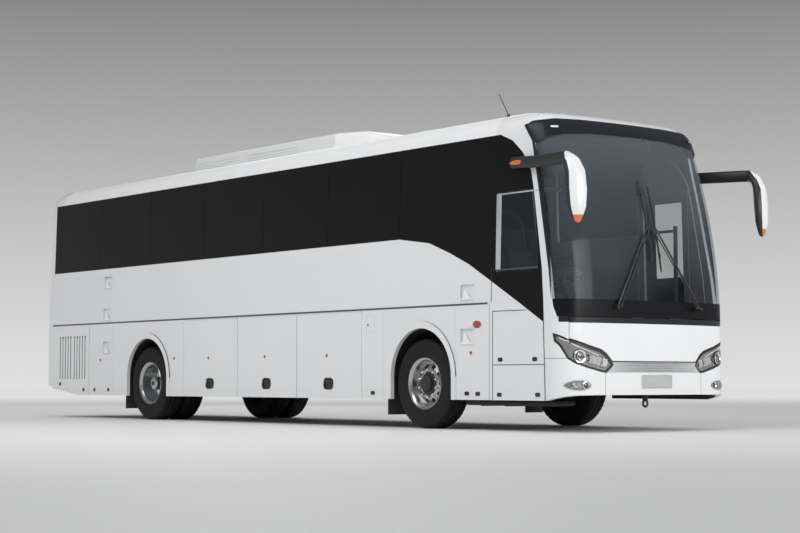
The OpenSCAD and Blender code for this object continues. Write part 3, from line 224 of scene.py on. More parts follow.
def makeThreadGroup():
    tree, given, end = newGroup("clothThreads", [("Vector", "Place", None), ("Float", "Count", 220.0)],
                                [("Float", "Height")])
    rows = []
    for aim in ("X", "Z"):
        ins = {"Vector": given["Place"], "Scale": given["Count"], "Distortion": 0.6}
        wave = newNode(tree, "TexWave", ins)
        wave.bands_direction = aim
        rows.append(wave.outputs["Fac"])
    fillNode(tree, end, {"Height": mathNode(tree, "MAXIMUM", *rows)})
    return tree


paintedFinish = makeFinishGroup()
clothThreads = makeThreadGroup()


def makeMaterial(name, colour, rough=0.3, metal=0.0, coat=0.0, patch=0.03, patchScale=1.2, grain=160.0,
                 bump=0.02, dirtTop=0.8, dirtAmount=0.15, dirt=(0.25, 0.23, 0.2), roughSpread=0.06,
                 alpha=1.0, gleam=0.5, weave=0.0):
    paint = bpy.data.materials.new(name)
    paint.use_nodes = True
    tree = paint.node_tree
    spot = newNode(tree, "TexCoord").outputs["Object"]
    finish = groupNode(tree, paintedFinish, {
        "Place": spot, "Colour": (*colour, 1.0), "Dirt": (*dirt, 1.0), "Patch Scale": patchScale,
        "Patch": patch, "Grain Scale": grain, "Dirt Top": dirtTop, "Dirt Amount": dirtAmount,
        "Rough": rough, "Rough Spread": roughSpread}).outputs
    height = finish["Height"]
    if weave:
        height = groupNode(tree, clothThreads, {"Place": spot, "Count": weave}).outputs["Height"]
    relief = newNode(tree, "Bump", {"Strength": bump, "Distance": 0.002, "Height": height})
    fillNode(tree, tree.nodes["Principled BSDF"], {
        "Base Color": finish["Colour"], "Roughness": finish["Rough"], "Normal": relief.outputs["Normal"],
        "Metallic": metal, "Coat Weight": coat, "Coat Roughness": 0.04, "Alpha": alpha,
        "Specular IOR Level": gleam})
    return paint


def makeGlass(name, colour, rough, alpha, gleam, **more):
    values = {"patch": 0.05, "grain": 2.0, "bump": 0.01, "dirtAmount": 0.0, "roughSpread": 0.01, **more}
    return makeMaterial(name, colour, rough, alpha=alpha, gleam=gleam, **values)


busWhite = makeMaterial("busWhite", (0.79, 0.80, 0.81), rough=0.24, coat=0.5, bump=0.012, grain=90.0,
                        dirtAmount=0.05)
# roof shell paint: rougher with less coat, and lighter than busWhite though it is the same white: painted
# light on the roof's curve
roofLitPaint = makeMaterial("roofLitPaint", (0.83, 0.84, 0.845), rough=0.42, coat=0.08, bump=0.03, grain=120.0)
roofWhite = makeMaterial("roofWhite", (0.72, 0.73, 0.73), rough=0.4, coat=0.15, bump=0.05, grain=220.0)
# a lighter copy of the white: painted highlight on the nose of the roof unit and on the sloped floors in the
# step pockets
paintedHighlightWhite = makeMaterial("paintedHighlightWhite", (0.90, 0.90, 0.90), rough=0.35, coat=0.3, bump=0.03, grain=200.0)
sideGlass = makeGlass("sideGlass", (0.0090, 0.0091, 0.0102), 0.06, 1.0, 0.08, patch=0.2, bump=0.02,
                      roughSpread=0.02)
driverGlass = makeGlass("driverGlass", (0.017, 0.021, 0.024), 0.05, 0.72, 0.22)
# the screen's colour darkens towards the dash: painted shade of the dark cab behind the glass
screenGlass = makeGlass("screenGlass", (0.215, 0.255, 0.290), 0.035, 0.34, 0.25, patch=0.08, patchScale=0.7,
                        dirt=(0.012, 0.014, 0.017), dirtTop=3.25, dirtAmount=3.2, roughSpread=0.004)
doorPane = makeGlass("doorPane", (0.10, 0.12, 0.13), 0.04, 0.22, 0.4)
paneInside = makeGlass("paneInside", (0.16, 0.19, 0.21), 0.05, 0.05, 0.2)
visorBlack = makeMaterial("visorBlack", (0.0150, 0.0170, 0.0245), rough=0.3, coat=0.06, bump=0.01,
                          dirtAmount=0.0, gleam=0.22)
# cowl black: matte and grainy, and darker with less gleam than the visor's black: painted shade against the
# front light it catches
shadedCowlBlack = makeMaterial("shadedCowlBlack", (0.007, 0.0075, 0.009), rough=0.34, bump=0.03, grain=300.0,
                         dirtAmount=0.0, gleam=0.12)
trimBlack = makeMaterial("trimBlack", (0.020, 0.020, 0.021), rough=0.42, bump=0.12, grain=420.0)
stripGrey = makeMaterial("stripGrey", (0.075, 0.075, 0.078), rough=0.5, bump=0.08, grain=300.0)
trimGrey = makeMaterial("trimGrey", (0.50, 0.505, 0.51), rough=0.38, bump=0.06, grain=320.0)
paleMetal = makeMaterial("paleMetal", (0.62, 0.63, 0.64), rough=0.32, metal=0.6, bump=0.06, grain=260.0)
brightMetal = makeMaterial("brightMetal", (0.82, 0.83, 0.84), rough=0.12, metal=1.0, coat=0.1, bump=0.02,
                           grain=140.0, dirtAmount=0.12, dirtTop=1.0)
chassisBlack = makeMaterial("chassisBlack", (0.022, 0.022, 0.023), rough=0.6, bump=0.15, grain=120.0,
                            dirtAmount=0.3, dirtTop=1.2)
# black underseal; the same black is painted shade on inner faces under the body and on the sheet behind the
# louvres
undersealAndShadeBlack = makeMaterial("undersealAndShadeBlack", (0.010, 0.010, 0.0105), rough=0.8, bump=0.5, grain=90.0,
                              dirtAmount=0.25, dirtTop=0.9)
wallLining = makeMaterial("wallLining", (0.20, 0.205, 0.215), rough=0.75, bump=0.25, grain=420.0,
                          dirtAmount=0.0)
ironGrey = makeMaterial("ironGrey", (0.10, 0.10, 0.10), rough=0.65, metal=0.5, bump=0.3, grain=180.0)
floorGrey = makeMaterial("floorGrey", (0.11, 0.11, 0.118), rough=0.6, bump=0.2, grain=260.0, dirtAmount=0.1)
flapRubber = makeMaterial("flapRubber", (0.016, 0.016, 0.016), rough=0.7, bump=0.2, grain=150.0,
                          dirtAmount=0.4)
tyreRubber = makeMaterial("tyreRubber", (0.0105, 0.0105, 0.011), rough=0.66, bump=0.18, grain=300.0,
                          dirtAmount=0.05, dirtTop=1.1, gleam=0.25)
rimSilver = makeMaterial("rimSilver", (0.48, 0.49, 0.50), rough=0.2, metal=0.9, coat=0.2, bump=0.05,
                         grain=240.0, dirtAmount=0.25, dirtTop=1.0)
hubDark = makeMaterial("hubDark", (0.030, 0.030, 0.031), rough=0.45, metal=0.3, bump=0.15, grain=240.0)
lampBowl = makeMaterial("lampBowl", (0.30, 0.305, 0.31), rough=0.14, metal=0.8, coat=0.8, bump=0.08,
                        grain=60.0, dirtAmount=0.05)
lampLens = makeMaterial("lampLens", (0.05, 0.055, 0.06), rough=0.04, coat=1.0, bump=0.01, dirtAmount=0.0)
lampClear = makeMaterial("lampClear", (0.74, 0.75, 0.76), rough=0.12, coat=0.8, bump=0.03, grain=120.0)
lampRed = makeMaterial("lampRed", (0.42, 0.012, 0.012), rough=0.12, coat=0.7, bump=0.02)
lampAmber = makeMaterial("lampAmber", (0.66, 0.155, 0.028), rough=0.15, coat=0.7, bump=0.02)
markerAmber = makeMaterial("markerAmber", (0.40, 0.060, 0.016), rough=0.2, coat=0.5, bump=0.04, grain=400.0)
mirrorGlass = makeMaterial("mirrorGlass", (0.80, 0.82, 0.83), rough=0.03, metal=1.0, bump=0.005,
                           dirtAmount=0.0)
seatBlue = makeMaterial("seatBlue", (0.040, 0.050, 0.10), rough=0.88, bump=0.6, patch=0.25, patchScale=9.0,
                        dirtAmount=0.0, weave=210.0)
dashGrey = makeMaterial("dashGrey", (0.055, 0.055, 0.06), rough=0.6, bump=0.25, grain=480.0, dirtAmount=0.0)
print("finishes made")

bodyOf = {node: body for body, nodes in frame["record"]["behaviour"]["bodies"].items() for node in nodes}


# making and placing; faces square to the side shade flat where a crease is asked for
flatSide = 0.98


def shadeByAngle(bm, limit, crease=0.0):
    for face in bm.faces:
        face.smooth = crease == 0.0 or abs(face.normal.y) < flatSide
    for edge in bm.edges:
        turn = math.degrees(edge.calc_face_angle(0.0)) if edge.is_manifold else 180.0
        edge.smooth = turn < limit and not 0.2 < turn < crease


def addPiece(name, bm, paint, limit=34.0, crease=0.0, body="bus_body"):
    shadeByAngle(bm, limit, crease)
    mesh = bpy.data.meshes.new(name)
    bm.to_mesh(mesh)
    bm.free()
    piece = bpy.data.objects.new(name, mesh)
    scene.collection.objects.link(piece)
    for one in (paint if isinstance(paint, (list, tuple)) else [paint]):
        mesh.materials.append(one)
    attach(piece, body)
    return piece


def addRods(name, runs, radius, paint, smooth=False, body="bus_body"):
    data = bpy.data.curves.new(name, "CURVE")
    data.dimensions = "3D"
    data.bevel_depth = radius
    data.bevel_resolution = 3
    data.resolution_u = 8
    data.use_fill_caps = True
    for run in runs:
        line = data.splines.new("NURBS" if smooth else "POLY")
        line.points.add(len(run) - 1)
        for point, spot in zip(line.points, run):
            point.co = (*spot, 1.0)
        if smooth:
            line.order_u = 3
            line.use_endpoint_u = True
    piece = bpy.data.objects.new(name, data)
    scene.collection.objects.link(piece)
    data.materials.append(paint)
    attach(piece, body)


def placed(place, normal=None, roll=0.0):
    move = Matrix.Translation(place)
    if normal is not None:
        move = move @ Vector(normal).to_track_quat("Z", "Y").to_matrix().to_4x4()
    return move @ Matrix.Rotation(math.radians(roll), 4, "Z")


# place is a point or a whole matrix, and paint None keeps the paints that the part has
def put(bm, part, place=None, normal=None, paint=0, roll=0.0):
    if place is not None:
        move = place if isinstance(place, Matrix) else placed(place, normal, roll)
        bmesh.ops.transform(part, matrix=move, verts=part.verts)
    if paint is not None:
        for face in part.faces:
            face.material_index = paint
    mesh = bpy.data.meshes.new("looseForm")
    part.to_mesh(mesh)
    part.free()
    bm.from_mesh(mesh)
    bpy.data.meshes.remove(mesh)


def softened(bm, edges, offset, steps=2):
    bmesh.ops.bevel(bm, geom=edges, offset=offset, offset_type="OFFSET", segments=steps, profile=0.5,
                    affect="EDGES", material=-1, clamp_overlap=True)


def stretched(bm, size):
    bmesh.ops.scale(bm, vec=size, verts=bm.verts)
    return bm


def block(size):
    bm = bmesh.new()
    bmesh.ops.create_cube(bm, size=1.0)
    return stretched(bm, size)


def bar(size, edge=0.003, steps=2):
    bm = block(size)
    softened(bm, bm.edges[:], edge, steps)
    return bm


def plate(width, height, depth, corner, edge=0.002, steps=5):
    bm = block((width, height, depth))
    uprights = [e for e in bm.edges if abs(e.verts[0].co.z - e.verts[1].co.z) > depth * 0.5]
    softened(bm, uprights, corner, steps)
    softened(bm, [e for e in bm.edges if min(v.co.z for v in e.verts) > depth * 0.49], edge)
    return bm


def tray(width, height, depth, corner, rim, floor):
    bm = plate(width, height, depth, corner, 0.0015)
    top = [f for f in bm.faces if f.calc_center_median().z > depth * 0.49 and f.normal.z > 0.9]
    bmesh.ops.inset_region(bm, faces=top, thickness=rim, use_even_offset=True)
    bmesh.ops.inset_region(bm, faces=top, thickness=0.004, depth=-floor, use_even_offset=True)
    return bm


def spun(profile, steps=32, closed=False):
    bm = bmesh.new()
    verts = [bm.verts.new((r, 0.0, h)) for r, h in profile]
    edges = [bm.edges.new(pair) for pair in zip(verts, verts[1:])]
    if closed:
        edges.append(bm.edges.new((verts[-1], verts[0])))
    bmesh.ops.spin(bm, geom=verts + edges, cent=(0, 0, 0), axis=(0, 0, 1), angle=math.tau, steps=steps,
                   use_merge=True)
    bmesh.ops.remove_doubles(bm, verts=bm.verts, dist=0.00005)
    bmesh.ops.recalc_face_normals(bm, faces=bm.faces)
    return bm


def dome(radius, height, steps=16):
    return spun([(0.0, height), (radius * 0.5, height * 0.86), (radius * 0.86, height * 0.5),
                 (radius * 0.97, height * 0.2), (radius, -0.002), (0.0, -0.002)], steps)


def turned(bm, degrees, axis):
    bmesh.ops.rotate(bm, cent=(0, 0, 0), matrix=Matrix.Rotation(math.radians(degrees), 3, axis),
                     verts=bm.verts)


# a line along the middle of the saloon: faces turned to it are inner faces, which take a lining in the
# saloon and black underseal with painted shade on the lower panels
saloonAxis = {"half": 4.5, "z": 1.9, "turn": -0.05}


def facesIn(face):
    spot = face.calc_center_median()
    half = saloonAxis["half"]
    axis = Vector((min(max(spot.x, -half), half), 0.0, saloonAxis["z"]))
    return face.normal.dot(spot - axis) < saloonAxis["turn"]


def nodeForm(nodes):
    bm = bmesh.new()
    for node in nodes:
        bm.from_mesh(frame["nodes"][node].data)
    bmesh.ops.remove_doubles(bm, verts=bm.verts, dist=0.00002)
    return bm


def skinOf(node, paints, choose=None, cuts=(), limit=34.0, crease=0.0):
    bm = nodeForm([node])
    for spot, aim in cuts:
        bmesh.ops.bisect_plane(bm, geom=bm.verts[:] + bm.edges[:] + bm.faces[:], dist=0.00001, plane_co=spot,
                               plane_no=aim)
    for face in bm.faces:
        face.material_index = choose(face) if choose else 0
    piece = addPiece(node + "Skin", bm, paints, limit, crease, body=bodyOf[node])
    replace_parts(piece, node)


# where a line along an axis meets the solids
treeOf = {}


def solidTree(key, nodes):
    if key not in treeOf:
        bm = nodeForm(nodes)
        treeOf[key] = BVHTree.FromBMesh(bm)
        bm.free()
    return treeOf[key]


frontNodes = ["windshield", "cowl_panel", "visor", "front_mask", "front_flap", "front_bumper",
              "front_grille", "headlamps", "fog_lamps"]
rearNodes = ["rear_wall", "rear_glass", "tail_lamps", "rear_bumper", "engine_hatch"]

# rays start well clear of the bus; the sides lean in above the waist
farX = 8.0
sideShape = {"half": 1.275, "waist": 1.38, "leanIn": 0.05, "leanRise": 1.87, "tilt": 0.0267}


def rayFrom(tree, end, y, z):
    return tree.ray_cast(Vector((end * farX, y, z)), Vector((-end, 0, 0)))[:2]


def frontHit(y, z, out=0.0):
    spot, normal = rayFrom(solidTree("front", frontNodes), 1, y, z)
    return spot + normal * out, normal


def rearHit(y, z, out=0.0):
    spot, normal = rayFrom(solidTree("rear", rearNodes), -1, y, z)
    return spot + normal * out, normal


def sideY(z):
    return sideShape["half"] - max(0.0, z - sideShape["waist"]) * sideShape["leanIn"] / sideShape["leanRise"]


def sideSpot(side, x, z, out=0.0):
    return Vector((x, side * (sideY(z) + out), z))


def sideAim(side, z):
    return Vector((0.0, side, sideShape["tilt"] if z > sideShape["waist"] else 0.0))


# solids that stay as they are get a finish, panels get a copy with its own paint on the inner face: a lining
# in the saloon, black underseal that also paints in the shade under the body on the lower panels
plainFinish = {"steering_wheel": trimBlack, "antenna": trimBlack, "underframe": chassisBlack,
               "knuckle_right": chassisBlack, "knuckle_left": chassisBlack,
               "flap_hinges": chassisBlack, "hatch_hinges": chassisBlack, "engine": ironGrey,
               "floor_deck": floorGrey, "mud_flaps": flapRubber}
smoothFinish = {"visor": visorBlack, "cowl_panel": shadedCowlBlack, "rear_glass": sideGlass,
                "mirror_arms": trimBlack, "mirror_heads": busWhite, "mirror_lamps": lampAmber,
                "wipers": trimBlack, "front_axle": chassisBlack, "rear_axle": chassisBlack,
                "front_grille": trimGrey, "tail_lamps": lampRed,
                "door_arm": chassisBlack, "dashboard": dashGrey}
for node, paint in plainFinish.items():
    part = frame["nodes"][node]
    part.data.materials.clear()
    part.data.materials.append(paint)
for node, paint in smoothFinish.items():
    skinOf(node, paint)

panelCuts = {"unitNose": 0.95, "blackStripLow": 1.158, "maskStrip": (1.165, 1.300), "maskStripFront": 5.583,
             "cornerSeam": 0.780, "skirtEdge": ((5.402, 0.0, 0.335), (1.0, 0.0, 0.0277))}


def innerFacePaint(face):
    return 1 if facesIn(face) else 0


def maskPaint(face):
    spot = face.calc_center_median()
    low, high = panelCuts["maskStrip"]
    if spot.x > panelCuts["maskStripFront"] and low < spot.z < high:
        return 2
    return innerFacePaint(face)


def skirtPaint(face):
    spot, aim = panelCuts["skirtEdge"]
    if (face.calc_center_median() - Vector(spot)).dot(Vector(aim)) > 0.0:
        return 2
    return innerFacePaint(face)


def paintAbove(z):
    return lambda face: 2 if face.calc_center_median().z > z else innerFacePaint(face)


# the nose of the air unit takes the lighter white and the rest roofWhite: painted highlight on its front
skinOf("roof_ac", [roofWhite, paintedHighlightWhite],
       lambda face: 1 if face.calc_center_median().x > panelCuts["unitNose"] else 0)
for node, crease in (("side_walls", 5.0), ("rear_wall", 0.0), ("passenger_door", 5.0)):
    skinOf(node, [busWhite, wallLining], innerFacePaint, crease=crease)
skinOf("roof_shell", [roofLitPaint, wallLining], innerFacePaint)
# inner faces of the lower panels take the black: underseal, and also painted shade under the body
for node in ["rear_bumper", "engine_hatch"] + ["luggage_door_%s_%d" % (side, number)
                                               for side in ("right", "left") for number in (1, 2, 3)]:
    skinOf(node, [busWhite, undersealAndShadeBlack], innerFacePaint, crease=5.0 if "door" in node else 0.0)
skinOf("front_mask", [busWhite, wallLining, visorBlack], maskPaint,
       [((0, 0, panelCuts["maskStrip"][0]), (0, 0, 1)), ((panelCuts["maskStripFront"], 0, 0), (1, 0, 0))])
skinOf("skirts", [busWhite, undersealAndShadeBlack, trimBlack], skirtPaint, [panelCuts["skirtEdge"]], crease=5.0)
for node, paint, z in (("front_bumper", trimBlack, panelCuts["cornerSeam"]),
                       ("front_flap", visorBlack, panelCuts["blackStripLow"])):
    skinOf(node, [busWhite, undersealAndShadeBlack, paint], paintAbove(z), [((0, 0, z), (0, 0, 1))])
skinOf("windshield", [screenGlass, paneInside], innerFacePaint)
doorClear = {"rear": 4.600, "low": 1.750}


def doorPanePaint(face):
    spot = face.calc_center_median()
    if spot.x < doorClear["rear"] or spot.z < doorClear["low"]:
        return 2
    return innerFacePaint(face)


skinOf("door_glass", [doorPane, paneInside, sideGlass], doorPanePaint,
       [((doorClear["rear"], 0, 0), (1, 0, 0)), ((0, 0, doorClear["low"]), (0, 0, 1))])
driverPane = {"x": (4.60, 5.31), "z": (1.73, 2.62)}


def sidePanePaint(face):
    spot = face.calc_center_median()
    inPane = spot.y < 0 and all(driverPane["x"][0] < v.co.x < driverPane["x"][1] and
                                driverPane["z"][0] < v.co.z < driverPane["z"][1] for v in face.verts)
    if inPane:
        return 2 if facesIn(face) else 1
    return 0


skinOf("side_glass", [sideGlass, driverGlass, paneInside], sidePanePaint, crease=5.0)
print("solids dressed")

# wheels: tread with shoulder lugs, bright rims, nuts on the hub ring
wheelLook = {"radius": 0.515, "half": 0.1475, "bead": 0.286, "grooves": (-0.066, 0.0, 0.066), "steps": 96,
             "lugDepth": 0.007, "trackY": 1.087, "twin": 0.330, "frontX": 3.305, "rearX": -2.935,
             "nutRing": 0.158, "nuts": 10, "frontDisc": 0.066, "rearDisc": -0.138, "hubRadius": 0.099,
             "frontCap": 0.135, "rearCap": 0.090, "dish": 0.28,
             "drum": [(0.0, 0.030), (0.190, 0.030), (0.232, 0.022), (0.244, 0.004), (0.244, -0.050),
                      (0.225, -0.056), (0.0, -0.056)]}


def tyreForm(look):
    half, top, bead = look["half"], look["radius"], look["bead"]
    flank = [(bead, 0.040), (bead + 0.014, 0.018), (bead + 0.030, 0.011), (bead + 0.036, 0.0135),
             (bead + 0.042, 0.0085), (bead + 0.090, 0.0005), (bead + 0.118, 0.0005), (bead + 0.122, 0.003),
             (bead + 0.128, 0.0005), (top - 0.070, 0.001), (top - 0.040, 0.006), (top - 0.022, 0.014),
             (top - 0.007, 0.026), (top, 0.048)]
    profile = [(r, h - half) for r, h in flank]
    for spot in look["grooves"]:
        profile += [(top, spot - 0.007), (top - 0.012, spot - 0.0056), (top - 0.012, spot + 0.0056),
                    (top, spot + 0.007)]
    profile += [(r, half - h) for r, h in reversed(flank)]
    bm = spun(profile, look["steps"], closed=True)
    lugs = []
    for face in bm.faces:
        spot = face.calc_center_median()
        reach = math.hypot(spot.x, spot.y)
        turn = int((math.atan2(spot.y, spot.x) + math.tau) / math.tau * look["steps"])
        if top - 0.020 < reach < top - 0.001 and abs(spot.z) > half - 0.05 and turn % 2:
            lugs.append(face)
    bmesh.ops.inset_region(bm, faces=lugs, thickness=0.0015, depth=-look["lugDepth"], use_even_offset=True)
    return bm


def nutForm():
    bm = spun([(0.0, 0.040), (0.006, 0.040), (0.008, 0.037), (0.008, 0.028)], 10)
    put(bm, spun([(0.008, 0.030), (0.0145, 0.030), (0.0165, 0.027), (0.0165, 0.006)], 6))
    put(bm, spun([(0.0165, 0.006), (0.021, 0.005), (0.022, -0.002)], 12))
    return bm


def addWheel(corner, look):
    front = corner.startswith("front")
    side = -1 if corner.endswith("right") else 1
    axleX = look["frontX"] if front else look["rearX"]
    tag = "".join(word.capitalize() for word in corner.split("_"))
    body = "wheel_" + corner
    hub = (axleX, side * look["trackY"], look["radius"])
    bm = bmesh.new()
    for inset in ((0.0,) if front else (0.0, look["twin"])):
        put(bm, tyreForm(look), (axleX, side * (look["trackY"] - inset), look["radius"]), (0, side, 0))
    tyre = addPiece("tyre" + tag, bm, tyreRubber, 40.0, body=body)
    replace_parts(tyre, ("tyre_" if front else "tyres_") + corner)
    rimNode = ("rim_" if front else "rims_") + corner
    disc = look["frontDisc"] if front else look["rearDisc"]

    def rimPaint(face):
        spot = face.calc_center_median()
        reach = math.hypot(spot.x - hub[0], spot.z - hub[2])
        out = side * spot.y - look["trackY"]
        onHub = front and reach < look["hubRadius"] and out > disc + 0.002
        inDish = out < 0.0 and (face.normal.y * side < -0.5 or reach > look["dish"])
        return 1 if onHub or inDish else 0

    skinOf(rimNode, [rimSilver, hubDark], rimPaint, limit=30.0)
    bm = bmesh.new()
    for i in range(look["nuts"]):
        turn = math.tau * (i + 0.5) / look["nuts"]
        spot = (hub[0] + look["nutRing"] * math.cos(turn), hub[1] + side * disc,
                hub[2] + look["nutRing"] * math.sin(turn))
        put(bm, nutForm(), spot, (0, side, 0), roll=17.0 * i)
    cap = look["frontCap"] if front else look["rearCap"]
    put(bm, spun([(0.0, 0.006), (0.030, 0.005), (0.034, -0.002)], 24),
        (hub[0], hub[1] + side * (cap - 0.001), hub[2]), (0, side, 0), 1)
    if front:
        put(bm, spun([(0.094, 0.086), (0.112, 0.084), (0.132, 0.076), (0.140, 0.069)], 40), hub,
            (0, side, 0), 1)
        # brake drum behind the hand holes
        put(bm, spun(look["drum"], 48), hub, (0, side, 0), 1)
    addPiece("wheelNuts" + tag, bm, [brightMetal, hubDark], 28.0, body=body)


for corner in ("front_right", "front_left", "rear_right", "rear_left"):
    addWheel(corner, wheelLook)
print("wheels made")

# lamps let into the front: black rim, bright bowl, projector, faceted reflector
headlampLook = {"rim": 0.022, "sink": 0.010, "projector": (1.061, 0.804), "reflector": (0.866, 0.764),
                "tipStrip": [(1.240, 1.006), (1.230, 0.990), (1.205, 0.974), (1.170, 0.960)],
                "topStrip": [(1.150, 0.938), (1.080, 0.905), (1.000, 0.876), (0.900, 0.845), (0.820, 0.812)],
                "lowY": (1.140, 1.080, 1.020, 0.960, 0.900, 0.840, 0.780, 0.730),
                "fins": (0.968, 0.956, 0.944), "finZ": 0.786, "climb": 0.20,
                "facets": [(0.0, 0.150, 0.085), (0.10, 0.060, 0.050), (-0.125, 0.070, 0.085)]}
fogLook = {"rim": 0.010, "sink": 0.008, "lens": (0.985, 0.497), "bowl": (1.100, 0.497)}
# faces of a lamp that look ahead
lampFacing = 0.12


def insetLamp(node, rim, sink, paints):
    bm = nodeForm([node])
    face = [f for f in bm.faces if f.normal.x > lampFacing]
    bmesh.ops.dissolve_limit(bm, angle_limit=math.radians(0.5),
                             edges=list({e for f in face for e in f.edges}),
                             verts=list({v for f in face for v in f.verts}))
    face = [f for f in bm.faces if f.normal.x > lampFacing]
    bmesh.ops.inset_region(bm, faces=face, thickness=rim, use_even_offset=True)
    bmesh.ops.inset_region(bm, faces=face, thickness=0.003, depth=-sink, use_even_offset=True)
    for f in bm.faces:
        f.material_index = 0
    for f in face:
        f.material_index = 1
    piece = addPiece(node + "Skin", bm, paints, body=bodyOf[node])
    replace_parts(piece, node)


def projectorForm():
    bm = spun([(0.046, -0.006), (0.062, -0.004), (0.072, 0.006), (0.068, 0.011), (0.058, 0.009),
               (0.050, 0.002), (0.046, -0.006)], 40)
    put(bm, spun([(0.0, 0.012), (0.020, 0.010), (0.036, 0.004), (0.047, -0.006)], 40), paint=1)
    put(bm, spun([(0.026, 0.0095), (0.030, 0.0115), (0.034, 0.0060)], 40))
    return bm


def reflectorForm(width, height):
    bm = bmesh.new()
    bmesh.ops.create_grid(bm, x_segments=6, y_segments=3, size=0.5)
    stretched(bm, (width, height, 1.0))
    for i, vert in enumerate(bm.verts):
        vert.co.z += (0.0, 0.011, 0.003)[i % 3]
        vert.co.x += 0.25 * vert.co.y
    return bm


insetLamp("headlamps", headlampLook["rim"], headlampLook["sink"], [trimBlack, lampBowl])
insetLamp("fog_lamps", fogLook["rim"], fogLook["sink"], [trimGrey, lampBowl])
bm = bmesh.new()
for side in (-1, 1):
    y, z = headlampLook["projector"]
    spot, aim = frontHit(side * y, z, -0.006)
    put(bm, spun([(0.040, -0.010), (0.074, -0.006), (0.080, 0.004), (0.072, 0.002), (0.046, -0.006)], 40),
        spot, aim, 2)
    put(bm, projectorForm(), spot, aim, None)
    for shift, width, height in headlampLook["facets"]:
        y, z = headlampLook["reflector"]
        spot, aim = frontHit(side * (y + shift), z + headlampLook["climb"] * shift, -0.011)
        put(bm, reflectorForm(width, height), spot, aim, roll=12.0 * side)
    for y in headlampLook["fins"]:
        spot, aim = frontHit(side * y, headlampLook["finZ"], -0.006)
        put(bm, bar((0.005, 0.070, 0.014), 0.0015, 1), spot, aim, 2)
    y, z = fogLook["lens"]
    spot, aim = frontHit(side * y, z, -0.005)
    put(bm, spun([(0.030, -0.004), (0.040, 0.000), (0.043, 0.005), (0.037, 0.006), (0.030, 0.001)], 28),
        spot, aim)
    put(bm, dome(0.031, 0.008, 24), spot, aim, 1)
    y, z = fogLook["bowl"]
    spot, aim = frontHit(side * y, z, -0.0095)
    put(bm, reflectorForm(0.120, 0.055), spot, aim, 3)
addPiece("lampFittings", bm, [brightMetal, lampLens, trimBlack, rimSilver], 25.0)


def lampLow(y):
    tree = solidTree("lamps", ["headlamps"])
    rows = [0.60 + 0.004 * k for k in range(120)]
    return min(z for z in rows if rayFrom(tree, 1, y, z)[0])


headlampLook["lowStrip"] = [(y, lampLow(y) + 0.036) for y in headlampLook["lowY"]]
for name, key, radius, paint in (("lampTipStrips", "tipStrip", 0.008, lampClear),
                                 ("lampTopStrips", "topStrip", 0.006, lampClear),
                                 ("lampLowStrips", "lowStrip", 0.0045, brightMetal)):
    runs = [[frontHit(side * y, z, -0.006)[0] for y, z in headlampLook[key]] for side in (-1, 1)]
    addRods(name, runs, radius, paint, smooth=True)

# blank number plate, seams of the middle bumper panel
frontFittings = {"plateZ": 0.5375, "plateSize": (0.46, 0.145), "visorLamp": (1.050, 3.280), "seamY": 0.735,
                 "seamZ": (0.401, 0.520, 0.630)}
bm = bmesh.new()
wide, tall = frontFittings["plateSize"]
corners = [(y, z) for y in (-0.5, 0, 0.5) for z in (-0.5, 0, 0.5)]
reach = max(frontHit(wide * y, frontFittings["plateZ"] + tall * z)[0].x for y, z in corners)
spot = (reach + 0.003, 0.0, frontFittings["plateZ"])
put(bm, tray(wide, tall, 0.012, 0.018, 0.006, 0.003), spot, (1, 0, 0))
addPiece("plateBlank", bm, paleMetal)
seamY = frontFittings["seamY"]
runs = [[frontHit(y, z, -0.0015)[0] for z in frontFittings["seamZ"]] for y in (-seamY, seamY)]
addRods("bumperSeams", runs, 0.0030, stripGrey)

# towing eyes: a ring in a forged bracket at either end
towLook = {"spots": [(5.625, 0.300, 0.430), (-5.985, 0.400, 0.520)], "ring": 0.034, "wire": 0.012}
bm = bmesh.new()
for x, z, top in towLook["spots"]:
    ring, wire = towLook["ring"], towLook["wire"]
    turns = [k * math.tau / 10 for k in range(10)]
    hoop = [(ring + wire * math.cos(turn), wire * math.sin(turn)) for turn in turns]
    put(bm, spun(hoop, 28, True), (x, 0.0, z), (0, 1, 0))
    foot = z + ring - 0.004
    put(bm, bar((0.060, 0.030, top - foot), 0.003), (x, 0.0, (top + foot) / 2))
    put(bm, bar((0.110, 0.076, 0.014), 0.004), (x, 0.0, top - 0.008))
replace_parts(addPiece("towRings", bm, chassisBlack), "tow_eyes")

# lamps in the ends of the visor
bm = bmesh.new()
for side in (-1, 1):
    y, z = frontFittings["visorLamp"]
    spot, aim = frontHit(side * y, z, 0.001)
    put(bm, tray(0.120, 0.052, 0.012, 0.022, 0.010, 0.004), spot, aim)
    put(bm, plate(0.086, 0.026, 0.012, 0.012), spot, aim, 1)
addPiece("visorLamps", bm, [trimBlack, lampClear])

# wipers: second rod of each arm, caps on the spindles, spring bars on the blades
wiperLook = {"pivotY": (-0.600, 0.650), "pivotZ": 1.335, "tip": ((-0.072, 2.229), (0.024, 2.190)),
             "low": ((-0.057, 1.834), (0.042, 1.735)), "high": ((-0.090, 2.719), (0.005, 2.670)),
             "out": (0.042, 0.072), "spread": 0.052}


def screenSpot(y, z, out):
    tree = solidTree("screen", ["windshield", "cowl_panel"])
    return rayFrom(tree, 1, y, z)[0] + Vector((out, 0, 0))


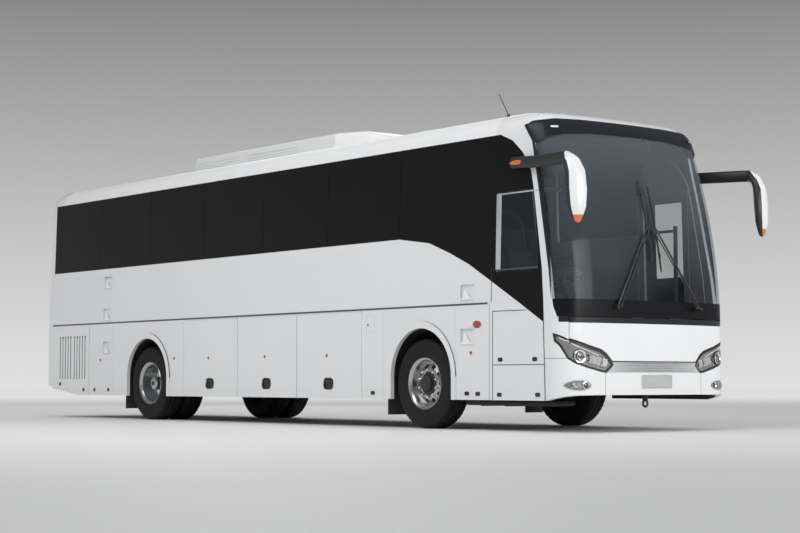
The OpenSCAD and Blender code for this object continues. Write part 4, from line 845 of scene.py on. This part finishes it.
rods, bows = [], []
bm = bmesh.new()
for i in (0, 1):
    y, tip, out = wiperLook["pivotY"][i], wiperLook["tip"][i], wiperLook["out"][i]
    low, high = wiperLook["low"][i], wiperLook["high"][i]
    lean = wiperLook["spread"] * (1 if i == 0 else -1)
    base = screenSpot(y + lean, wiperLook["pivotZ"] + 0.015, out)
    rods.append([base, screenSpot(tip[0] + lean * 0.5, tip[1] - 0.035, out + 0.004)])
    for spot in (base, screenSpot(y, wiperLook["pivotZ"], out + 0.012)):
        put(bm, spun([(0.0, 0.014), (0.016, 0.012), (0.022, 0.004), (0.022, -0.030)], 20), spot, (1, 0, 0))
    put(bm, bar((0.016, 0.070, 0.040), 0.006), screenSpot(tip[0] + lean * 0.25, tip[1] - 0.02, out))
    for share in (0.18, 0.38, 0.62, 0.82):
        spot = Vector(low) + (Vector(high) - Vector(low)) * share
        put(bm, bar((0.020, 0.014, 0.050), 0.004), screenSpot(*spot, out - 0.002))
    ends = [low, tip, high]
    bows.append([screenSpot(*spot, out + rise) for spot, rise in zip(ends, (-0.002, 0.016, -0.002))])
addPiece("wiperFittings", bm, trimBlack)
addRods("wiperRods", rods, 0.0065, trimBlack)
addRods("wiperBows", bows, 0.0045, trimBlack, smooth=True)
print("front fittings made")

# mirrors: glass behind the heads, lamps at the roots of the arms
mirrorLook = {"glass": [(2.640, 0.084, 0.360), (2.365, 0.066, 0.140)], "glassY": 1.440, "toe": 20.0,
              "behind": 5.4, "sink": 0.021, "lamp": (5.010, 2.902), "lampSize": (0.112, 0.026)}
mirrorTree = solidTree("mirrors", ["mirror_arms"])
bm = bmesh.new()
for side in (-1, 1):
    aim = Vector((-1.0, 0.0, 0.0))
    aim.rotate(Matrix.Rotation(math.radians(-mirrorLook["toe"] * side), 3, "Z"))
    for z, wide, tall in mirrorLook["glass"]:
        start = Vector((mirrorLook["behind"], side * mirrorLook["glassY"], z))
        hit = mirrorTree.ray_cast(start, Vector((1, 0, 0)))[0]
        put(bm, plate(wide, tall, 0.050, 0.030, 0.003), hit - aim * mirrorLook["sink"], aim)
addPiece("mirrorPlates", bm, mirrorGlass)
bm = bmesh.new()
for side in (-1, 1):
    x, z = mirrorLook["lamp"]
    hit = mirrorTree.ray_cast(Vector((x, side * 2.0, z)), Vector((0, -side, 0)))[0]
    put(bm, stretched(dome(1.0, 0.5, 24), (*mirrorLook["lampSize"], 0.022)), hit, (0, side, 0))
addPiece("armLamps", bm, lampAmber)

# side fittings: pulls and reflectors on the luggage doors, locks, waist strip, seams
sideLook = {"pullX": (1.485, 0.119, -1.247), "pullZ": 0.512, "pullSize": (0.211, 0.143),
            "reflectorZ": 0.857, "doorReflectorX": (1.447, 0.072, -1.294),
            "skirtReflectorX": (-2.193, -4.309, 4.194),
            "frontLocks": [(4.125, 0.405), (4.312, 0.403), (4.674, 0.395), (5.293, 0.398), (4.691, 0.776),
                           (5.248, 0.777), (2.391, 0.404)],
            "rearLocks": [(-5.577, 0.500), (-4.818, 0.417), (-4.478, 0.418), (-4.057, 0.419)],
            "keyhole": (2.292, 1.214), "stripZ": 1.398, "stripTall": 0.020, "stripRear": -5.835,
            "stripFront": {-1: 4.480, 1: 4.330}, "lockSize": (0.075, 0.045),
            "markerX": {-1: 4.300, 1: 4.185}, "markerZ": 1.170, "markerSize": (0.064, 0.037),
            "pockets": [(4.128, 1.037), (4.128, 1.533), (-4.120, 1.037), (-4.120, 1.520), (-4.120, 1.992)],
            "wedge": [(-0.080, 0.024, 0.060), (-0.080, 0.004, -0.082), (0.060, 0.004, -0.082)]}
# on the left the passenger door takes the place of what lies ahead of this
doorRear = 4.33


def reflectorDot(bm, side, x):
    spot = sideSpot(side, x, sideLook["reflectorZ"])
    put(bm, dome(0.016, 0.006), spot, (0, side, 0))
    put(bm, spun([(0.015, 0.003), (0.019, 0.004), (0.021, -0.001)], 20), spot, (0, side, 0))


# a sloped wedge inside each step pocket, in the lighter white: a painted highlight on the pocket floor
def pocketWedge(side, x, z):
    wedge = bmesh.new()
    corners = [sideSpot(side, x + dx, z + dz, -sink) for dx, sink, dz in sideLook["wedge"]]
    tip = wedge.faces.new([wedge.verts.new(corner) for corner in corners])
    back = bmesh.ops.extrude_face_region(wedge, geom=[tip])["geom"]
    bmesh.ops.translate(wedge, vec=(0.0, -0.004 * side, 0.0),
                        verts=[v for v in back if isinstance(v, bmesh.types.BMVert)])
    bmesh.ops.recalc_face_normals(wedge, faces=wedge.faces)
    return wedge


for side, word in ((-1, "right"), (1, "left")):
    for number in (1, 2, 3):
        body = "luggage_door_%s_%d_body" % (word, number)
        tag = "%s%d" % (word.capitalize(), number)
        bm = bmesh.new()
        spot = sideSpot(side, sideLook["pullX"][number - 1], sideLook["pullZ"], -0.0135)
        put(bm, tray(*sideLook["pullSize"], 0.021, 0.056, 0.010, 0.016), spot, (0, side, 0))
        spot = sideSpot(side, sideLook["pullX"][number - 1], sideLook["pullZ"] + 0.030, -0.006)
        put(bm, bar((0.150, 0.012, 0.034), 0.004), spot)
        addPiece("doorPull" + tag, bm, trimBlack, body=body)
        bm = bmesh.new()
        reflectorDot(bm, side, sideLook["doorReflectorX"][number - 1])
        addPiece("doorReflector" + tag, bm, markerAmber, body=body)
bm = bmesh.new()
for side in (-1, 1):
    for x in sideLook["skirtReflectorX"]:
        reflectorDot(bm, side, x)
addPiece("skirtReflectors", bm, markerAmber)
bm = bmesh.new()
for side in (-1, 1):
    spot = sideSpot(side, sideLook["markerX"][side], sideLook["markerZ"])
    for form in (dome(1.0, 1.0, 28), spun([(0.96, 0.25), (1.06, 0.28), (1.14, -0.05)], 28)):
        put(bm, stretched(form, (*sideLook["markerSize"], 0.020)), spot, (0, side, 0))
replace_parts(addPiece("markerLamps", bm, markerAmber), "side_markers")
bm = bmesh.new()
for side in (-1, 1):
    for x, z in sideLook["frontLocks"]:
        if side == 1 and x > doorRear:
            continue
        spot = sideSpot(side, x, z, 0.001)
        put(bm, tray(*sideLook["lockSize"], 0.010, 0.018, 0.006, 0.003), spot, (0, side, 0))
        put(bm, bar((0.030, 0.008, 0.012), 0.003), spot)
    for x, z in sideLook["rearLocks"]:
        spot = sideSpot(side, x, z)
        put(bm, spun([(0.0, 0.003), (0.010, 0.003), (0.012, 0.006), (0.026, 0.006), (0.030, -0.002)], 24),
            spot, (0, side, 0))
spot = sideSpot(-1, *sideLook["keyhole"])
put(bm, spun([(0.0, 0.002), (0.006, 0.002), (0.008, 0.004), (0.012, 0.003), (0.013, -0.002)], 20), spot,
    (0, -1, 0))
addPiece("sideLocks", bm, trimBlack)
# grey lips along the bottoms of the step pockets, and the wedges in them with the painted highlight
bm = bmesh.new()
for side in (-1, 1):
    for x, z in sideLook["pockets"]:
        if side == 1 and x > 0.0 and z > sideShape["waist"]:
            continue
        put(bm, bar((0.236, 0.010, 0.007), 0.002), sideSpot(side, x, z - 0.090, -0.001))
        put(bm, pocketWedge(side, x, z), paint=1)
addPiece("pocketLipsAndHighlights", bm, [trimGrey, paintedHighlightWhite])
bm = bmesh.new()
for side in (-1, 1):
    front, rear = sideLook["stripFront"][side], sideLook["stripRear"]
    size = (front - rear, 0.010, sideLook["stripTall"])
    put(bm, bar(size, 0.003), sideSpot(side, (front + rear) / 2, sideLook["stripZ"]))
addPiece("waistStrips", bm, stripGrey)
seamLook = {"hatchSeams": (trimBlack, 0.0008, [(4.557, 0.340, 4.568, 1.306), (4.5625, 0.7145, 5.400, 0.7235),
                                               (4.5625, 1.301, 5.110, 1.310), (4.537, 1.410, 4.547, 1.795)]),
            "panelSeam": (stripGrey, 0.0006, [(4.5055, 0.340, 4.5115, 1.386)])}
for name, (paint, sink, seams) in seamLook.items():
    bm = bmesh.new()
    for x0, z0, x1, z1 in seams:
        z = (z0 + z1) / 2
        form = bar((x1 - x0, z1 - z0, 0.003), 0.0005, 1)
        put(bm, form, sideSpot(-1, (x0 + x1) / 2, z, sink - 0.0015), sideAim(-1, z))
    addPiece(name, bm, paint)

# slats behind the louvre slots of the engine bay, with a black plate behind them: painted shade of the dark
# bay
louvreLook = {"start": (-4.768, -5.224), "pitch": 0.084, "count": 5, "width": 0.030, "low": 0.577,
              "high": 1.193, "slat": (0.0275, 0.008), "slatY": 1.268, "turn": 10.0,
              "back": (0.960, 0.006, 0.720), "backAt": (-5.216, 1.226, 0.900)}
bm = bmesh.new()
for side in (-1, 1):
    for start in louvreLook["start"]:
        for i in range(louvreLook["count"]):
            x = start - louvreLook["pitch"] * i - louvreLook["width"] / 2
            low, high = louvreLook["low"], louvreLook["high"]
            slat = bar((*louvreLook["slat"], high - low), 0.003)
            turned(slat, louvreLook["turn"] * side, "Z")
            put(bm, slat, (x + 0.001, side * louvreLook["slatY"], (low + high) / 2))
    # the black back plate is a painted shadow sheet for the dark bay behind the slots
    x, y, z = louvreLook["backAt"]
    put(bm, bar(louvreLook["back"], 0.002), (x, side * y, z), paint=1)
addPiece("louvreSlats", bm, [busWhite, undersealAndShadeBlack])

# driver's window: pale rails and the grab bar inside
driverLook = {"post": (4.6085, 4.688), "z": (1.763, 2.581), "front": 5.290, "grabY": -1.185,
              "grab": [(4.57, 2.39), (4.70, 2.40), (4.83, 2.37), (4.93, 2.27), (4.98, 2.12), (4.98, 1.94)]}
bm = bmesh.new()
low, high = driverLook["z"]
aim = sideAim(-1, low)
post = driverLook["post"]
put(bm, bar((post[1] - post[0], high - low, 0.008), 0.003),
    sideSpot(-1, sum(post) / 2, (low + high) / 2, 0.001), aim)
for z in (low - 0.006, high + 0.006):
    put(bm, bar((driverLook["front"] - post[0], 0.016, 0.008), 0.003),
        sideSpot(-1, (driverLook["front"] + post[0]) / 2, z), aim, 1 if z < low else 0)
addPiece("driverWindowRails", bm, [paleMetal, stripGrey])
run = [(x, driverLook["grabY"], z) for x, z in driverLook["grab"]]
addRods("driverGrabBar", [run], 0.018, trimBlack, smooth=True)
print("side fittings made")

# passenger door: rubber edges, window seal, lock; ribbed edges on the steps
doorLook = {"x": (4.348, 5.152), "z": (0.405, 2.745), "window": (4.440, 5.060, 1.455, 2.635),
            "steps": [(0.350, 1.040), (0.700, 0.740), (1.200, 0.440)], "lock": (4.395, 1.180),
            "stepX": 4.75}
bm = bmesh.new()
low, high = doorLook["z"]
for x in doorLook["x"]:
    for z0, z1 in ((low, sideShape["waist"]), (sideShape["waist"], high)):
        z = (z0 + z1) / 2
        inward = 0.010 if x == doorLook["x"][0] else -0.010
        put(bm, bar((0.018, z1 - z0, 0.006), 0.002), sideSpot(1, x + inward, z, 0.001), sideAim(1, z))
x0, x1, z0, z1 = doorLook["window"]
for x in (x0, x1):
    put(bm, bar((0.022, z1 - z0, 0.008), 0.003), sideSpot(1, x, (z0 + z1) / 2), sideAim(1, z0))
for z in (z0, z1):
    put(bm, bar((x1 - x0 + 0.020, 0.022, 0.008), 0.003), sideSpot(1, (x0 + x1) / 2, z), sideAim(1, z0))
put(bm, tray(0.110, 0.060, 0.014, 0.020, 0.008, 0.006), sideSpot(1, *doorLook["lock"]), (0, 1, 0))
addPiece("doorSeals", bm, trimBlack, body="passenger_door_body")
bm = bmesh.new()
for y, z in doorLook["steps"]:
    x = doorLook["stepX"]
    put(bm, bar((0.770, 0.034, 0.006), 0.002), (x, y - 0.018, z + 0.0025))
    for k in range(4):
        put(bm, bar((0.760, 0.004, 0.005), 0.001, 1), (x, y - 0.006 - 0.008 * k, z + 0.006), paint=1)
addPiece("stepEdges", bm, [paleMetal, flapRubber])

# arch liners over the wheels
archLook = {"x": (3.305, -2.935), "z": 0.515, "radius": 0.622, "inner": 0.700, "outer": 1.236}
bm = bmesh.new()
for x in archLook["x"]:
    for side in (-1, 1):
        part = bmesh.new()
        ends = [part.verts.new((archLook["radius"], side * y, 0.0))
                for y in (archLook["inner"], archLook["outer"])]
        line = part.edges.new(ends)
        bmesh.ops.spin(part, geom=ends + [line], cent=(0, 0, 0), axis=(0, -1, 0), angle=math.pi, steps=28)
        bmesh.ops.solidify(part, geom=part.faces[:], thickness=0.004)
        bmesh.ops.recalc_face_normals(part, faces=part.faces)
        put(bm, part, (x, 0.0, archLook["z"]))
addPiece("archLiners", bm, undersealAndShadeBlack, 40.0)

# shield under the driver's side of the nose
shieldLook = {"x": (3.960, 5.300), "y": (-1.150, -0.720), "z": (0.275, 0.332), "ribX": (4.20, 4.60, 5.00)}
bm = bmesh.new()
low, high = [Vector([shieldLook[axis][k] for axis in "xyz"]) for k in (0, 1)]
put(bm, bar(high - low, 0.020, 3), (low + high) / 2)
for x in shieldLook["ribX"]:
    put(bm, bar((0.050, high.y - low.y - 0.060, 0.016), 0.005), (x, (low.y + high.y) / 2, low.z))
addPiece("underShield", bm, undersealAndShadeBlack)

# roof: fan grilles and side ribs of the air unit, a hatch behind it
roofLook = {"fanX": (-2.15, -1.50, -0.85, -0.20), "fanY": (-0.36, 0.36), "top": 3.7195, "fanRadius": 0.235,
            "ribX": (-1.95, -0.55), "ribZ": (3.555, 3.595, 3.635), "ribLength": 1.20, "ribY": 0.750,
            "hatch": (-4.20, 0.0, 3.518)}
bm = bmesh.new()
for x in roofLook["fanX"]:
    for y in roofLook["fanY"]:
        reach = roofLook["fanRadius"]
        spot = (x, y, roofLook["top"])
        put(bm, spun([(reach - 0.030, -0.002), (reach - 0.024, 0.016), (reach, 0.016),
                      (reach + 0.020, -0.002)], 40), spot)
        put(bm, spun([(0.0, 0.001), (reach - 0.028, 0.001), (reach - 0.026, -0.002)], 40), spot, paint=1)
        for k in range(1, 5):
            ring = 0.045 * k
            put(bm, spun([(ring - 0.004, 0.009), (ring, 0.013), (ring + 0.004, 0.009), (ring, 0.005)], 40,
                         True), spot, paint=1)
        for k in range(8):
            spoke = bar((reach - 0.040, 0.010, 0.008), 0.002)
            bmesh.ops.translate(spoke, vec=((reach - 0.040) / 2 + 0.014, 0, 0.010), verts=spoke.verts)
            put(bm, spoke, spot, paint=1, roll=45.0 * k)
for side in (-1, 1):
    for x in roofLook["ribX"]:
        for z in roofLook["ribZ"]:
            put(bm, bar((roofLook["ribLength"], 0.014, 0.018), 0.004), (x, side * roofLook["ribY"], z))
addPiece("roofUnitGrilles", bm, [roofWhite, trimBlack])
bm = bmesh.new()
x, y, z = roofLook["hatch"]
put(bm, plate(0.760, 0.660, 0.050, 0.060, 0.012), (x, y, z + 0.006))
put(bm, plate(0.680, 0.580, 0.050, 0.050, 0.014), (x, y, z + 0.022), paint=1)
addPiece("roofHatch", bm, [trimBlack, roofWhite])
print("roof and arches made")

# rear: rings in the tail lamps, grille slats and pull on the hatch, reflectors, high stop lamp
rearLook = {"lampY": 1.0325, "lamps": [(0.945, 1), (1.155, 2), (1.365, 1)], "lampRadius": 0.076,
            "slotZ": 0.9175, "slotPitch": 0.070, "slots": 6, "slatWide": 1.18, "slatTurn": 35.0,
            "pullZ": 0.835, "reflector": (1.060, 0.640), "stopZ": 3.110}
bm = bmesh.new()
for side in (-1, 1):
    for z, paint in rearLook["lamps"]:
        spot, aim = rearHit(side * rearLook["lampY"], z)
        reach = rearLook["lampRadius"]
        put(bm, spun([(reach - 0.010, 0.004), (reach - 0.004, 0.012), (reach + 0.006, 0.010),
                      (reach + 0.010, -0.004)], 40), spot, aim)
        put(bm, dome(reach - 0.008, 0.016, 36), spot, aim, paint)
        put(bm, spun([(0.026, 0.013), (0.030, 0.017), (0.034, 0.012)], 28), spot, aim, paint)
    spot, aim = rearHit(side * rearLook["reflector"][0], rearLook["reflector"][1])
    put(bm, dome(0.034, 0.008, 24), spot, aim, 1)
spot, aim = rearHit(0.0, rearLook["stopZ"])
put(bm, plate(0.420, 0.036, 0.024, 0.010), spot, aim, 1)
addPiece("rearLampRings", bm, [brightMetal, lampRed, lampAmber], 40.0)
bm = bmesh.new()
for i in range(rearLook["slots"]):
    z = rearLook["slotZ"] + rearLook["slotPitch"] * i
    for y in (-1, 0, 1):
        wide = rearLook["slatWide"] / 3
        lift = rearLook["slotPitch"] / 2
        spot = rearHit(y * wide, z + lift)[0] + Vector((0.024, 0.0, -lift))
        slat = bar((0.004, wide, 0.036), 0.001, 1)
        turned(slat, rearLook["slatTurn"], "Y")
        put(bm, slat, spot)
spot, aim = rearHit(0.0, rearLook["pullZ"], -0.0085)
put(bm, tray(0.180, 0.070, 0.014, 0.026, 0.010, 0.008), spot, aim)
addPiece("hatchGrille", bm, trimBlack, body="engine_hatch_body")
print("rear fittings made")

# seats: pads puffed up by cloth, set out in pairs, on shells with legs and armrests
seatLook = {"rowX": 2.905, "pitch": 0.83, "rows": 10, "deck": 1.4303, "seatY": (0.5425, 0.9675),
            "cushion": {"size": (0.400, 0.385, 0.080), "cuts": 8, "pressure": 4.0, "cap": 0.022},
            "back": {"size": (0.070, 0.385, 0.600), "cuts": 8, "pressure": 4.0, "cap": 0.018},
            "lean": -13.9, "tilt": -4.0, "cushionAt": (0.285, 0.0, 0.425), "backAt": (-0.030, 0.0, 0.715),
            "driver": (4.305, -0.600, 1.0403), "steps": 20,
            "channel": {"across": 0.128, "depth": 0.010, "width": 0.012},
            "shell": ((0.020, 0.400, 0.640), 0.008, (-0.070, 0.0, 0.690)),
            "frame": [((0.420, 0.390, 0.030), 0.008, (0.275, 0.0, 0.365)),
                      ((0.040, 0.060, 0.350), 0.006, (0.100, 0.0, 0.175)),
                      ((0.040, 0.060, 0.350), 0.006, (0.290, 0.0, 0.175)),
                      ((0.300, 0.034, 0.036), 0.010, (0.180, -0.204, 0.640)),
                      ((0.040, 0.016, 0.300), 0.005, (0.050, -0.204, 0.500)),
                      ((0.300, 0.034, 0.036), 0.010, (0.180, 0.204, 0.640)),
                      ((0.040, 0.016, 0.300), 0.005, (0.050, 0.204, 0.500))]}


def softPad(look):
    bm = block(look["size"])
    bmesh.ops.subdivide_edges(bm, edges=bm.edges[:], cuts=look["cuts"], use_grid_fill=True)
    bmesh.ops.smooth_vert(bm, verts=bm.verts[:], factor=0.5, use_axis_x=True, use_axis_y=True,
                          use_axis_z=True)
    mesh = bpy.data.meshes.new("loosePad")
    bm.to_mesh(mesh)
    loose = bpy.data.objects.new("loosePad", mesh)
    scene.collection.objects.link(loose)
    cloth = loose.modifiers.new("Cloth", "CLOTH")
    cloth.settings.use_pressure = True
    cloth.settings.uniform_pressure_force = look["pressure"]
    cloth.settings.effector_weights.gravity = 0.0
    for number in range(1, seatLook["steps"] + 1):
        scene.frame_set(number)
    shaped = loose.evaluated_get(bpy.context.evaluated_depsgraph_get()).to_mesh()
    bm.verts.ensure_lookup_table()
    for vert, puffed in zip(bm.verts, shaped.vertices):
        step = puffed.co - vert.co
        if step.length > look["cap"]:
            step = step * (look["cap"] / step.length)
        vert.co += step
    scene.frame_set(1)
    bpy.data.objects.remove(loose)
    bpy.data.meshes.remove(mesh)
    return bm


# two sewn channels pulled into the face of a pad
def sewn(bm, axis, channel):
    for vert in bm.verts:
        if vert.co[axis] > 0 and abs(abs(vert.co.y) - channel["across"]) < channel["width"]:
            vert.co[axis] -= channel["depth"]


def padCopies(form, spots, matrixOf):
    bm = bmesh.new()
    for spot in spots:
        bm.from_mesh(form)
        fresh = bm.verts[-len(form.vertices):]
        bmesh.ops.transform(bm, matrix=matrixOf(spot), verts=fresh)
    return bm


def padMesh(name, axis):
    bm = softPad(seatLook[name])
    sewn(bm, axis, seatLook["channel"])
    mesh = bpy.data.meshes.new(name)
    bm.to_mesh(mesh)
    bm.free()
    return mesh


cushionForm = padMesh("cushion", 2)
backForm = padMesh("back", 0)
seatSpots = [Vector((seatLook["rowX"] - seatLook["pitch"] * row, side * y, seatLook["deck"]))
             for row in range(seatLook["rows"]) for side in (-1, 1) for y in seatLook["seatY"]]
driverSpot = Vector(seatLook["driver"])
leanTurn, tiltTurn = [Matrix.Rotation(math.radians(seatLook[key]), 4, "Y") for key in ("lean", "tilt")]


def cushionPlace(spot):
    return Matrix.Translation(spot + Vector(seatLook["cushionAt"])) @ tiltTurn


def backPlace(spot):
    return Matrix.Translation(spot + Vector(seatLook["backAt"])) @ leanTurn


for name, spots, node in (("saloon", seatSpots, "passenger_seats"), ("driver", [driverSpot], "driver_seat")):
    for word, form, place in (("Cushions", cushionForm, cushionPlace), ("Backs", backForm, backPlace)):
        pads = addPiece(name + word, padCopies(form, spots, place), seatBlue, 60.0)
        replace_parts(pads, node)
bpy.data.meshes.remove(cushionForm)
bpy.data.meshes.remove(backForm)
bm = bmesh.new()
for spot in seatSpots + [driverSpot]:
    size, edge, shift = seatLook["shell"]
    put(bm, bar(size, edge), placed(spot + Vector(shift)) @ leanTurn)
    for size, edge, shift in seatLook["frame"]:
        put(bm, bar(size, edge), spot + Vector(shift))
addPiece("seatFrames", bm, trimBlack)
print("seats made")

# driver's place: hood with dials over the dash, racks along the saloon roof
cabLook = {"hood": (5.255, -0.600, 1.345), "dials": (-0.110, 0.110), "rackY": 0.960, "rackZ": 2.930,
           "rackX": (-5.350, 3.100)}
bm = bmesh.new()
hood = bar((0.200, 0.520, 0.090), 0.030, 4)
turned(hood, -12.0, "Y")
put(bm, hood, Vector(cabLook["hood"]) + Vector((0.0, 0.0, 0.035)))
for y in cabLook["dials"]:
    spot = Vector(cabLook["hood"]) + Vector((-0.101, y, 0.040))
    aim = (-1, 0, 0.2)
    put(bm, spun([(0.040, 0.002), (0.046, 0.008), (0.052, 0.004), (0.054, -0.006)], 32), spot, aim, 1)
    put(bm, spun([(0.0, 0.002), (0.042, 0.002), (0.043, -0.004)], 32), spot, aim, 2)
addPiece("dashHood", bm, [dashGrey, paleMetal, lampLens])
bm = bmesh.new()
rear, front = cabLook["rackX"]
for side in (-1, 1):
    put(bm, bar((front - rear, 0.380, 0.030), 0.012, 3),
        ((front + rear) / 2, side * cabLook["rackY"], cabLook["rackZ"]))
    put(bm, bar((front - rear, 0.030, 0.090), 0.012, 3),
        ((front + rear) / 2, side * (cabLook["rackY"] - 0.185), cabLook["rackZ"] + 0.030))
addPiece("luggageRacks", bm, wallLining)
print("inside made")
